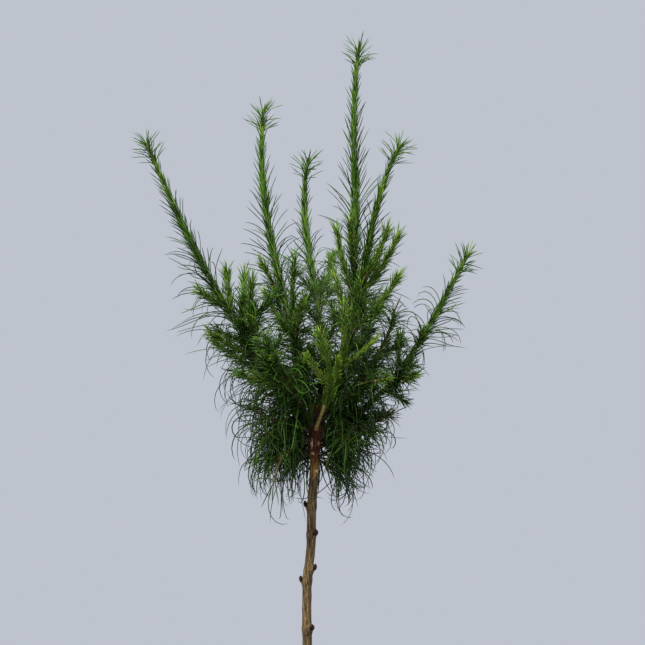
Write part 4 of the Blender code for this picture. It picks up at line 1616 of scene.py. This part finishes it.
@dataclass
class Crown:
    """Everything above the graft: boughs, shoots, spurs and needles.

    Ranges are those of chance. The collar is the spurs that hang from the graft itself. window is
    half the width of the gap that needles leave in front of the graft. needle_sizes gives the
    lengths from and up to which a blade has so many rings.
    """

    stem: Stem
    rule: NeedleRule = field(default_factory=NeedleRule)
    outline: Outline = field(default_factory=Outline)
    limbs: tuple[Limb, ...] = LIMBS
    foot_offset: float = 0.0032
    handle_reach: float = 0.33
    leave_depth: float = 0.45
    arrive_depth: float = 0.90
    side_elbow: float = 0.55
    side_elbow_rise: float = 0.32
    leader_radius: float = 0.0019
    side_radius: float = 0.0013
    spur_radius: float = 0.0009
    tip_radius: float = 0.0006
    hidden_share: float = 0.25
    bare_share: float = 0.9
    leader_rings: int = 56
    side_rings: int = 28
    spur_rings: int = 12
    shoot_sides: int = 7
    shoot_facing: Point = (0.1, -1.0, 0.2)
    bough_start: float = -0.03
    bough_end: float = 1.12
    bough_rings: int = 30
    bough_sides: int = 20
    bough_facing: Point = (0.0, -1.0, 0.2)
    bough_swell: float = 0.45
    swell_fall: float = 5.0
    rough_scale: float = 420.0
    rough_depth: float = 0.14
    fine_scale: float = 3.1
    fine_depth: float = 0.06
    rough_shift: float = 9.0
    spur_start: float = 0.012
    spur_end: float = 0.030
    spur_pitch: float = 0.015
    spur_pitch_range: Range = (0.8, 1.3)
    spur_length: float = 0.020
    spur_range: Range = (0.6, 1.3)
    spur_growth: Range = (0.6, 0.7)
    spur_lowness: float = 0.22
    spur_reach: float = 0.075
    spur_side: Point = (0.3, 0.9, 0.2)
    spur_forward: float = 0.75
    spur_lift: float = 0.30
    spur_droop: float = 0.45
    collar_spurs: int = 46
    collar_heights: Range = (0.444, 0.488)
    collar_depth: float = 0.001
    collar_length: float = 0.016
    collar_range: Range = (0.6, 1.2)
    collar_aside: float = 0.7
    collar_rise: Range = (-0.3, 1.0)
    collar_fall: float = 0.8
    collar_open: float = 0.75
    collar_radius: float = 0.0006
    clearance: float = 0.0004
    window: float = 0.0056
    window_top: float = 0.468
    limb_window: float = 0.0032
    limb_cover: float = 0.002
    limb_start: float = 0.05
    limb_samples: Range = (12, 16)
    samples: int = 14
    needle_sizes: tuple[tuple[float, float, int], ...] = (
        (0.0, 0.017, 4), (0.017, 0.030, 7), (0.030, 1.0, 12),
    )
    seed: int = 2026
    greens: tuple[NeedleFinish, ...] = (
        NeedleFinish(Tint.LIME, (0.150, 0.232, 0.020)),
        NeedleFinish(Tint.FRESH, (0.085, 0.160, 0.013)),
        NeedleFinish(Tint.GREEN, (0.052, 0.110, 0.012)),
        NeedleFinish(Tint.DEEP, (0.038, 0.094, 0.009)),
        NeedleFinish(Tint.DUSK, (0.014, 0.034, 0.004)),
    )

    def limb_points(self, limb: Limb, shares: Array) -> Array:
        """Points on a leading shoot.

        Args:
            limb: The leading shoot.
            shares: How far along each lies, from its foot at 0 to its tip at 1.

        Returns:
            The points.
        """
        tip = np.array(limb.tip)
        middle = self.stem.centre(limb.foot)
        outward = unit(np.array((tip[0] - middle[0], tip[1], 0.0)))
        foot = middle + outward * self.foot_offset
        reach = self.handle_reach * np.linalg.norm(tip - foot)
        leave, arrive = math.radians(limb.leave), math.radians(limb.arrive)
        first = foot + reach * np.array((math.sin(leave), 0.0, math.cos(leave)))
        last = tip - reach * np.array((math.sin(arrive), 0.0, math.cos(arrive)))
        first[1] = foot[1] + self.leave_depth * tip[1]
        last[1] = self.arrive_depth * tip[1]
        along = shares[:, None]
        rest = 1 - along
        start = foot * rest**3 + first * 3 * rest**2 * along
        return start + last * 3 * rest * along**2 + tip * along**3

    def side_points(self, limb: Limb, side: Side, shares: Array) -> Array:
        """Points on a short shoot, which leaves sideways and then turns up.

        Args:
            limb: The leading shoot that carries it.
            side: The short shoot.
            shares: How far along each lies, from its foot at 0 to its tip at 1.

        Returns:
            The points.
        """
        foot = self.limb_points(limb, np.array([side.share]))[0]
        tip = np.array(side.tip)
        elbow = foot + (tip - foot) * self.side_elbow
        elbow[2] = foot[2] + self.side_elbow_rise * (tip[2] - foot[2])
        along = shares[:, None]
        rest = 1 - along
        return foot * rest**2 + elbow * 2 * rest * along + tip * along**2

    def shoot_radius(self, limb: Limb) -> float:
        """The radius of a leading shoot where its bare foot ends."""
        return min(self.leader_radius, limb.radius)

    def leaders(self) -> list[Shoot]:
        """Draw the needle-bearing part of each leading shoot.

        Returns:
            The leading shoots.
        """
        shoots = []
        for limb in self.limbs:
            start = limb.bough * (self.bare_share if limb.fresh_foot else self.hidden_share)
            line = self.limb_points(limb, np.linspace(start, 1, self.leader_rings))
            shoots.append(Shoot(line, self.shoot_radius(limb), self.tip_radius, limb, Order.LEADER))
        return shoots

    def sides(self) -> list[Shoot]:
        """Draw all short shoots.

        Returns:
            The short shoots.
        """
        shares = np.linspace(0, 1, self.side_rings)
        shoots = []
        for limb in self.limbs:
            for side in limb.sides:
                line = self.side_points(limb, side, shares)
                shoots.append(Shoot(line, self.side_radius, self.tip_radius, limb, Order.SIDE))
        return shoots

    def spurs(self, carriers: list[Shoot], rng: Chance) -> list[Shoot]:
        """The finest twigs: spurs in a spiral on the older part of each shoot, which turn up.

        Args:
            carriers: The shoots that may carry spurs.
            rng: The source of chance.

        Returns:
            The spurs.
        """
        shares = np.linspace(0, 1, self.spur_rings)[:, None]
        least, most = self.spur_growth
        spurs = []
        for carrier in carriers:
            total = carrier.lengths()[-1]
            turn = rng.uniform(0, math.tau)
            along = self.spur_start
            while along < total - self.spur_end:
                place, heading = (rows[0] for rows in carrier.at(np.array([along])))
                low = float(self.rule.lowness(place[2:3], carrier.limb)[0])
                turn += GOLDEN_ANGLE
                along += self.spur_pitch * rng.uniform(*self.spur_pitch_range)
                if low < self.spur_lowness or math.hypot(place[0], place[1]) > self.spur_reach:
                    continue
                side = unit(np.cross(heading, np.array(self.spur_side)))
                out = side * math.cos(turn) + np.cross(heading, side) * math.sin(turn)
                growth = least + most * low
                length = self.spur_length * rng.uniform(*self.spur_range) * growth
                way = unit(heading * self.spur_forward + out)
                lift = UP * (self.spur_lift - self.spur_droop * carrier.limb.droop)
                line = place + (way * shares + lift * shares**2) * length
                spurs.append(Shoot(line, self.spur_radius, self.tip_radius, carrier.limb, Order.SPUR))
        return spurs

    def collar(self, rng: Chance) -> list[Shoot]:
        """Draw the spurs that hang from the graft itself, behind and beside the stem.

        Args:
            rng: The source of chance.

        Returns:
            The spurs.
        """
        limb = next(limb for limb in self.limbs if limb.droop)
        low, high = self.collar_heights
        shares = np.linspace(0, 1, self.spur_rings)[:, None]
        spurs = []
        for number in range(self.collar_spurs):
            height = low + (high - low) * (number + rng.random()) / self.collar_spurs
            turn = number * GOLDEN_ANGLE
            out = np.array((math.cos(turn), math.sin(turn), 0.0))
            if -out[1] > self.collar_open and height < self.window_top:
                continue
            foot = self.stem.centre(height) + out * (self.stem.girth(height) - self.collar_depth)
            length = self.collar_length * rng.uniform(*self.collar_range)
            aside = np.cross(UP, out) * rng.uniform(-self.collar_aside, self.collar_aside)
            rise = rng.uniform(*self.collar_rise) * shares - self.collar_fall * shares**2
            line = foot + (out * shares + UP * rise + aside * shares**1.5) * length
            spurs.append(Shoot(line, self.collar_radius, self.tip_radius, limb, Order.SPUR))
        return spurs

    def bough_patch(self, fresh: bool) -> Patch:
        """Sweep boughs, the bare feet of leading shoots, which swell where they leave the graft.

        Args:
            fresh: Whether to make those with fresh feet, or else all others.

        Returns:
            The boughs.
        """
        patches = []
        for index, limb in enumerate(self.limbs):
            if limb.fresh_foot is not fresh:
                continue
            shares = np.linspace(self.bough_start, limb.bough * self.bough_end, self.bough_rings)
            line = self.limb_points(limb, shares)
            rise = np.clip(shares / limb.bough, 0, 1)
            radii = limb.radius + (self.shoot_radius(limb) - limb.radius) * rise
            radii = (radii * (1 + self.bough_swell * np.exp(-rise * self.swell_fall)))[None]
            facing = np.array([self.bough_facing])
            bough = swept(line[None], radii, radii, facing, self.bough_sides, False)
            self.roughen(bough, line, index)
            patches.append(bough)
        return Patch.joined(patches)

    def roughen(self, patch: Patch, line: Array, seed: int) -> None:
        """Move a tube's points in and out from its middle line by a noise.

        Args:
            patch: The tube.
            line: Its middle line.
            seed: The noise's own number.
        """
        nearest = np.argmin(np.linalg.norm(patch.points[:, None] - line, axis=-1), axis=1)
        shift = Vector((seed * self.rough_shift, 0, 0))
        for i, middle in enumerate(line[nearest]):
            place = Vector(patch.points[i]) * self.rough_scale + shift
            lift = 1 + self.rough_depth * noise.noise(place)
            lift += self.fine_depth * noise.noise(place * self.fine_scale)
            patch.points[i] = middle + (patch.points[i] - middle) * lift

    def shoot_patch(self, shoots: list[Shoot]) -> Patch:
        """Sweep shoots as closed tapering tubes.

        Args:
            shoots: The shoots.

        Returns:
            The tubes.
        """
        facing = np.array([self.shoot_facing])
        patches = []
        for shoot in shoots:
            radii = shoot.radii(shoot.lengths())[None]
            patches.append(swept(shoot.line[None], radii, radii, facing, self.shoot_sides, True))
        return Patch.joined(patches)

    def kept(self, needles: Needles, rng: Chance) -> Array:
        """Whether each needle is kept: outside the bare stem, inside the outline, off the window.

        Args:
            needles: All needles.
            rng: The source of chance, which lets some strays pass.

        Returns:
            A mask with a value for each needle.
        """
        lines = needles.lines(self.samples)
        luck = rng.random(len(lines))
        bends = np.array(self.stem.bends)
        middle = np.interp(lines[..., 2], bends[:, 0], bends[:, 1])
        aside, heights = lines[..., 0] - middle, lines[..., 2]
        away = np.hypot(aside, lines[..., 1])
        inside = (away < self.stem.head_radius + self.clearance) & (heights < self.stem.head)
        within = luck < np.exp(-np.maximum(self.outline.excess(lines), 0) / self.outline.stray)
        front = (lines[..., 1] < 0) & (np.abs(aside) < self.window) & (heights < self.window_top)
        for limb in self.limbs:
            if limb.fresh_foot:
                front |= self.before(limb, limb.bough * self.bare_share, lines)
            if limb.close:
                front |= self.before(limb, 1.0, lines) & ~needles.fronts[:, None]
        return ~inside[:, 1:].any(axis=1) & within & ~front.any(axis=1)

    def before(self, limb: Limb, end: float, lines: Array) -> Array:
        """Whether points lie in front of a limb, as seen from the front.

        Args:
            limb: The limb.
            end: The share of it that counts, from its foot on.
            lines: The points, as (needle, ring, axis).

        Returns:
            A value for each point.
        """
        least, more = self.limb_samples
        shares = np.linspace(self.limb_start * end, end, int(least + more * end))
        middle = self.limb_points(limb, shares)
        away = np.hypot(lines[..., 0, None] - middle[:, 0], lines[..., 2, None] - middle[:, 2])
        near = np.argmin(away, axis=-1)
        nearer = lines[..., 1] < middle[near, 1] + self.limb_cover
        return (away.min(axis=-1) < self.limb_window) & nearer

    def needle_pieces(self, needles: Needles) -> list[Piece]:
        """Join the needles by tint into pieces that stay under the limit of triangles.

        Args:
            needles: All needles of the crown.

        Returns:
            The pieces.
        """
        pieces = []
        for finish in self.greens:
            material = finish.material()
            tinted = needles.chosen(needles.tints == finish.tint.value)
            patches, triangles = [], 0
            for low, high, rings in self.needle_sizes:
                sized = tinted.chosen((tinted.lengths >= low) & (tinted.lengths < high))
                each = 8 * rings - 6  # No blade has more triangles than this.
                room = MOST_TRIANGLES // each
                for start in range(0, len(sized.roots), room):
                    part = sized.chosen(slice(start, start + room))
                    if triangles + len(part.roots) * each > MOST_TRIANGLES:
                        pieces.append((patches, material, finish.tint))
                        patches, triangles = [], 0
                    patches.append(part.patch(rings))
                    triangles += len(part.roots) * each
            if patches:
                pieces.append((patches, material, finish.tint))
        return [
            Patch.joined(patches).mesh_object(f"needles_{tint.name.lower()}_{number}", material)
            for number, (patches, material, tint) in enumerate(pieces)
        ]

    def build(self) -> None:
        """Grow the crown and dress its pieces."""
        rng = np.random.default_rng(self.seed)
        leaders, sides = self.leaders(), self.sides()
        spurs = self.spurs(leaders + sides, rng) + self.collar(rng)
        shoots = leaders + sides + spurs
        grown = [self.rule.grow(shoot, habit, rng) for shoot in shoots for habit in Habit]
        needles = Needles.joined(grown)
        needles = needles.chosen(self.kept(needles, rng))
        LOG.info("%d shoots, %d spurs, %d needles", len(shoots), len(spurs), len(needles.roots))
        feet = ("boughs", False, BOUGH_BARK), ("fresh_boughs", True, GOLDEN_SHOOT)
        for name, fresh, finish in feet:
            nodes = [f"{limb.name}_bough" for limb in self.limbs if limb.fresh_foot is fresh]
            dress(self.bough_patch(fresh).mesh_object(name, finish.material()), "bark", *nodes)
        old = [shoot for shoot in leaders if not shoot.limb.fresh]
        young = sides + [shoot for shoot in leaders if shoot.limb.fresh]
        kinds = (
            ("leading_shoots", old, BROWN_SHOOT),
            ("fresh_shoots", young, YELLOW_SHOOT),
            ("spur_shoots", spurs, GREEN_SHOOT),
        )
        for name, kind, finish in kinds:
            dress(self.shoot_patch(kind).mesh_object(name, finish.material()), "bark")
        pieces = self.needle_pieces(needles)
        for piece in pieces:
            dress(piece, "needles")
        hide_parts(*(f"{limb.name}_mass" for limb in self.limbs))


@dataclass
class Lathe:
    """Turns a profile into a closed round piece, ring by ring."""

    sides: int = 144

    def turned(self, name: str, profile: Profile) -> Piece:
        """Turn a profile.

        Args:
            name: The piece's name.
            profile: (radius, height) of each ring, from the middle of one end to that of the other.

        Returns:
            The closed piece.
        """
        deselect_all()
        radius, height = profile[0]
        bpy.ops.mesh.primitive_circle_add(
            vertices=self.sides, radius=radius, location=(0, 0, height), fill_type="NGON"
        )
        piece = bpy.context.object
        bpy.ops.object.transform_apply(location=True, rotation=True, scale=True)
        piece.name = piece.data.name = name
        bpy.ops.object.mode_set(mode="EDIT")
        bpy.ops.mesh.select_mode(type="EDGE")
        bpy.ops.mesh.select_all(action="SELECT")
        for new_radius, new_height in profile[1:]:
            lift = (0, 0, new_height - height)
            bpy.ops.mesh.extrude_edges_move(TRANSFORM_OT_translate={"value": lift})
            share = new_radius / radius
            bpy.ops.transform.resize(value=(share, share, 1), center_override=(0, 0, new_height))
            radius, height = new_radius, new_height
        bpy.ops.mesh.edge_face_add()
        bpy.ops.mesh.select_all(action="SELECT")
        bpy.ops.mesh.normals_make_consistent(inside=False)
        bpy.ops.object.mode_set(mode="OBJECT")
        piece.data.shade_smooth()
        return piece


@dataclass
class Pot:
    """The clay pot: a deep rim with a rounded lip, three drain holes and slight throwing rings.

    centre_radii are those of the two innermost rings of the underside and of the floor. The
    shoulder is the soft edge under the rim.
    """

    height: float = 0.165
    top_radius: float = 0.095
    base_radius: float = 0.062
    wall: float = 0.007
    floor: float = 0.010
    rim_height: float = 0.038
    rim_proud: float = 0.006
    lip: float = 0.0022
    centre_radii: Range = (0.004, 0.030)
    shoulder: float = 0.0013
    shoulder_inset: float = 0.0012
    shoulder_foot: float = 0.0006
    shoulder_middle: float = 0.0020
    shoulder_top: float = 0.003
    wall_steps: int = 24
    rim_steps: int = 8
    inner_steps: int = 12
    drains: int = 3
    drain_radius: float = 0.005
    drain_ring: float = 0.026
    drain_turn: float = 30.0
    ring_depth: float = 0.00018
    ring_pitch: float = 0.0062
    wobble_depth: float = 0.00016
    wobble_scale: float = 60.0
    plain_edge: float = 0.002
    plain_foot: float = 0.004
    sharp_angle: float = 40.0

    def slope(self) -> float:
        """How much the wall leans out for each metre up."""
        return (self.top_radius - self.rim_proud - self.base_radius) / self.height

    @staticmethod
    def rounded(centre: Range, turn: float, radius: float) -> Profile:
        """A quarter round about a centre, from a turn in degrees on."""
        angles = [math.radians(turn + 90 * i / 5) for i in range(6)]
        return [(centre[0] + radius * math.cos(a), centre[1] + radius * math.sin(a)) for a in angles]

    @staticmethod
    def between(start: Range, end: Range, steps: int) -> Profile:
        """The points between a start and an end, at equal steps."""
        shares = [i / steps for i in range(1, steps)]
        return [tuple(a + (b - a) * share for a, b in zip(start, end)) for share in shares]

    def profile(self) -> Profile:
        """Draw the pot's whole outline.

        Returns:
            Its (radius, height) points, from the underside's middle to that of the floor inside.
        """
        foot = self.height - self.rim_height
        body = self.base_radius + self.slope() * foot
        inner_top = self.top_radius - self.rim_proud - self.wall
        inner_foot = self.base_radius + self.slope() * self.floor - self.wall
        lip, top, brim = self.lip, self.top_radius, self.height - self.lip
        wall = self.base_radius + self.slope() * lip
        rim = body + self.rim_proud
        shoulder = rim - self.shoulder_inset
        points = [(radius, 0.0) for radius in self.centre_radii]
        points += self.rounded((self.base_radius - lip, lip), -90, lip)
        points += self.between((wall, lip), (body, foot), self.wall_steps)
        points += [(body, foot), (shoulder, foot + self.shoulder_foot)]
        points += self.rounded((shoulder, foot + self.shoulder_middle), -60, self.shoulder)[:4]
        points += self.between((rim, foot + self.shoulder_top), (top, brim), self.rim_steps)
        points += self.rounded((top - lip, brim), 0, lip)
        points += self.rounded((inner_top + lip, brim), 90, lip)
        points += self.between((inner_top, brim), (inner_foot, self.floor), self.inner_steps)
        points.append((inner_foot, self.floor))
        points += [(radius, self.floor) for radius in reversed(self.centre_radii)]
        return points

    def pierce(self, pot: Piece) -> None:
        """Cut the drain holes.

        Args:
            pot: The turned pot.
        """
        for i in range(self.drains):
            angle = math.tau * i / self.drains + math.radians(self.drain_turn)
            middle = (self.drain_ring * math.cos(angle), self.drain_ring * math.sin(angle), 0)
            deselect_all()
            bpy.ops.mesh.primitive_cylinder_add(
                vertices=40, radius=self.drain_radius, depth=3 * self.floor, location=middle
            )
            cutter = bpy.context.object
            hole = pot.modifiers.new("drain", "BOOLEAN")
            hole.operation = "DIFFERENCE"
            hole.object = cutter
            deselect_all()
            bpy.context.view_layer.objects.active = pot
            bpy.ops.object.modifier_apply(modifier=hole.name)
            bpy.data.objects.remove(cutter)

    def throw(self, pot: Piece) -> None:
        """Press throwing rings and a slight wobble into the walls.

        Args:
            pot: The turned pot.
        """
        innermost = self.base_radius - self.wall - self.plain_edge
        for vert in pot.data.vertices:
            x, y, z = vert.co
            radius = math.hypot(x, y)
            if radius > innermost and z > self.plain_foot:
                swell = self.ring_depth * math.sin(math.tau * z / self.ring_pitch)
                swell += self.wobble_depth * noise.noise(Vector((x, y, z)) * self.wobble_scale)
                vert.co.x += x / radius * swell
                vert.co.y += y / radius * swell

    def build(self) -> None:
        """Make the pot and dress it."""
        pot = Lathe().turned("clay_pot", self.profile())
        self.throw(pot)
        self.pierce(pot)
        pot.data.materials.clear()
        pot.data.materials.append(ClayFinish().material())
        pot.data.set_sharp_from_angle(angle=math.radians(self.sharp_angle))
        dress(pot, "clay", "pot")


@dataclass(frozen=True)
class Litter:
    """One kind of small rough lumps that lie on the compost.

    radii are the smallest and the largest, and flat is how thick a lump is for its width.
    """

    name: str
    count: int
    radii: Range
    flat: float
    finish: CrumbFinish


@dataclass
class Compost:
    """The filling of the pot: an uneven surface with crumbs, bark chips and grit on it.

    Its surface is even as far as still_radius from the stem, and wholly uneven still_reach further
    out. Ranges are those of chance, as shares of a lump's radius.
    """

    pot: Pot
    top: float = 0.150
    edge_drop: float = 0.004
    gap: float = 0.0003
    rings: int = 34
    sides: int = 120
    centre: float = 0.004
    lump: float = 0.0016
    lump_scale: float = 70.0
    fine_scale: float = 210.0
    fine_share: float = 0.5
    still_radius: float = 0.006
    still_reach: float = 0.010
    sink: float = 0.0006
    stem_gap: float = 0.009
    edge_gap: float = 0.004
    breadth_range: Range = (0.45, 0.9)
    rough_range: Range = (0.78, 1.15)
    pitch: float = 0.35
    seat: float = 0.35
    litter: tuple[Litter, ...] = (
        Litter("compost_crumbs", 1500, (0.0008, 0.0024), 0.75, DAMP_COMPOST),
        Litter("bark_chips", 260, (0.0022, 0.0062), 0.32, BARK_CHIP),
        Litter("white_grit", 150, (0.0007, 0.0017), 0.8, WHITE_GRIT),
    )
    seed: int = 77

    def inner_radius(self, height: float) -> float:
        """The radius of the pot's inside at a height."""
        pot = self.pot
        return pot.base_radius + pot.slope() * height - pot.wall - self.gap

    def surface(self, x: float, y: float) -> float:
        """Measure the compost's height.

        Args:
            x: The place to the right of the pot's middle.
            y: The place behind the pot's middle.

        Returns:
            The height above the pot's underside.
        """
        radius = math.hypot(x, y)
        share = min(1.0, radius / self.inner_radius(self.top))
        rough = noise.noise(Vector((x, y, 0.3)) * self.lump_scale)
        rough += self.fine_share * noise.noise(Vector((x, y, 1.7)) * self.fine_scale)
        still = max(0.0, min(1.0, (radius - self.still_radius) / self.still_reach))
        return self.top - self.edge_drop * share**2 + self.lump * rough * still - self.sink

    def filling(self) -> Piece:
        """Turn the compost as one closed body and make its top uneven.

        Returns:
            The filling.
        """
        foot = self.pot.floor + self.gap
        edge = self.top - self.edge_drop
        reach = self.inner_radius(edge)
        profile = [(self.centre, foot), (self.inner_radius(foot), foot), (reach, edge)]
        profile += [(reach * (1 - i / self.rings), edge) for i in range(1, self.rings)]
        filling = Lathe(self.sides).turned("compost", profile)
        for vert in filling.data.vertices:
            if vert.co.z > edge - 1e-5:
                vert.co.z = self.surface(vert.co.x, vert.co.y)
        return filling

    @staticmethod
    def ball() -> Patch:
        """Make a coarse ball of radius 1 and take its points and faces.

        Returns:
            The ball.
        """
        deselect_all()
        bpy.ops.mesh.primitive_ico_sphere_add(subdivisions=1, radius=1)
        ball = bpy.context.object
        points = np.array([vert.co for vert in ball.data.vertices])
        corners = np.array([corner for face in ball.data.polygons for corner in face.vertices])
        bpy.data.objects.remove(ball)
        return Patch(points, corners, np.full(len(corners) // 3, 3))

    def strewn(self, litter: Litter, rng: Chance) -> Patch:
        """Strew copies of one ball as rough lumps on the compost.

        Args:
            litter: Their kind.
            rng: The source of chance.

        Returns:
            The lumps.
        """
        ball = self.ball()
        patches = []
        reach = self.inner_radius(self.top) - self.edge_gap
        while len(patches) < litter.count:
            radius = reach * math.sqrt(rng.random())
            angle = rng.uniform(0, math.tau)
            if radius < self.stem_gap:
                continue
            size = rng.uniform(*litter.radii)
            scale = size * np.array((1.0, rng.uniform(*self.breadth_range), litter.flat))
            lump = ball.points * rng.uniform(*self.rough_range, (len(ball.points), 1)) * scale
            yaw, pitch = rng.uniform(0, math.tau), rng.normal(0, self.pitch)
            turned = lump @ rotation(pitch, 2, 0).T @ rotation(yaw, 0, 1).T
            x, y = radius * math.cos(angle), radius * math.sin(angle)
            seat = np.array((x, y, self.surface(x, y) + scale[2] * self.seat))
            patches.append(Patch(turned + seat, ball.corners, ball.sizes))
        return Patch.joined(patches)

    def build(self) -> None:
        """Make the filling and what lies on it, and dress them."""
        filling = self.filling()
        filling.data.materials.clear()
        filling.data.materials.append(DAMP_COMPOST.material())
        dress(filling, "compost", "soil")
        for number, litter in enumerate(self.litter):
            patch = self.strewn(litter, np.random.default_rng(self.seed + number))
            lumps = patch.mesh_object(litter.name, litter.finish.material())
            lumps.data.shade_flat()
            dress(lumps, "compost")


@dataclass(frozen=True)
class Lamp:
    """A soft square light: where it hangs, the length of its side, its power and its colour."""

    name: str
    place: Point
    size: float
    power: float
    colour: Colour


@dataclass
class Studio:
    """The pale floor, the soft light and the camera, which looks level at the crown.

    frame_width is what the picture spans at the plant, and middle is what it is centred on.
    """

    middle: Point = (0.0132, 0.0, 0.556)
    frame_width: float = 0.516
    distance: float = 3.0
    sensor: float = 36.0
    air: Colour = (0.515, 0.546, 0.617)
    air_strength: float = 1.0
    floor_radius: float = 2.2
    lamps: tuple[Lamp, ...] = (
        Lamp("soft_top_light", (-0.5, -0.9, 2.1), 0.9, 92.0, (1.0, 0.97, 0.89)),
        Lamp("soft_back_light", (0.8, 1.5, 1.5), 1.4, 30.0, (0.95, 0.98, 1.0)),
    )

    def camera(self) -> None:
        """Make the camera."""
        data = bpy.data.cameras.new("camera")
        data.sensor_width = self.sensor
        data.lens = self.sensor * self.distance / self.frame_width
        camera = bpy.data.objects.new("camera", data)
        camera.location = Vector(self.middle) - Vector((0, self.distance, 0))
        camera.rotation_euler = (math.pi / 2, 0, 0)
        bpy.context.scene.collection.objects.link(camera)
        bpy.context.scene.camera = camera

    def hang(self, lamp: Lamp) -> None:
        """Hang a light so that it faces the crown.

        Args:
            lamp: The light.
        """
        data = bpy.data.lights.new(lamp.name, "AREA")
        data.size = lamp.size
        data.energy = lamp.power
        data.color = lamp.colour
        light = bpy.data.objects.new(lamp.name, data)
        light.location = lamp.place
        way = Vector(self.middle) - Vector(lamp.place)
        light.rotation_euler = way.to_track_quat("-Z", "Y").to_euler()
        bpy.context.scene.collection.objects.link(light)

    def air_light(self) -> None:
        """Fill the air with an even pale light."""
        world = bpy.data.worlds.new("pale_air")
        world.use_nodes = True
        background = world.node_tree.nodes["Background"]
        background.inputs["Color"].default_value = (*self.air, 1.0)
        background.inputs["Strength"].default_value = self.air_strength
        bpy.context.scene.world = world

    def floor(self) -> None:
        """Lay the floor."""
        deselect_all()
        bpy.ops.mesh.primitive_circle_add(vertices=128, radius=self.floor_radius, fill_type="NGON")
        floor = bpy.context.object
        floor.name = "studio_floor"
        floor.data.materials.append(StudioFinish().material())

    def build(self) -> None:
        """Set up the studio."""
        bpy.context.scene.view_settings.view_transform = "Standard"
        self.camera()
        self.air_light()
        self.floor()
        for lamp in self.lamps:
            self.hang(lamp)
        LOG.info("studio ready")


def main() -> None:
    """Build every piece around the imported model."""
    logging.basicConfig(level=logging.INFO, format="%(name)s %(message)s")
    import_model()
    Studio().build()
    stem = Stem()
    stem.build()
    Crown(stem).build()
    pot = Pot()
    pot.build()
    Compost(pot).build()


if __name__ == "__main__":
    main()
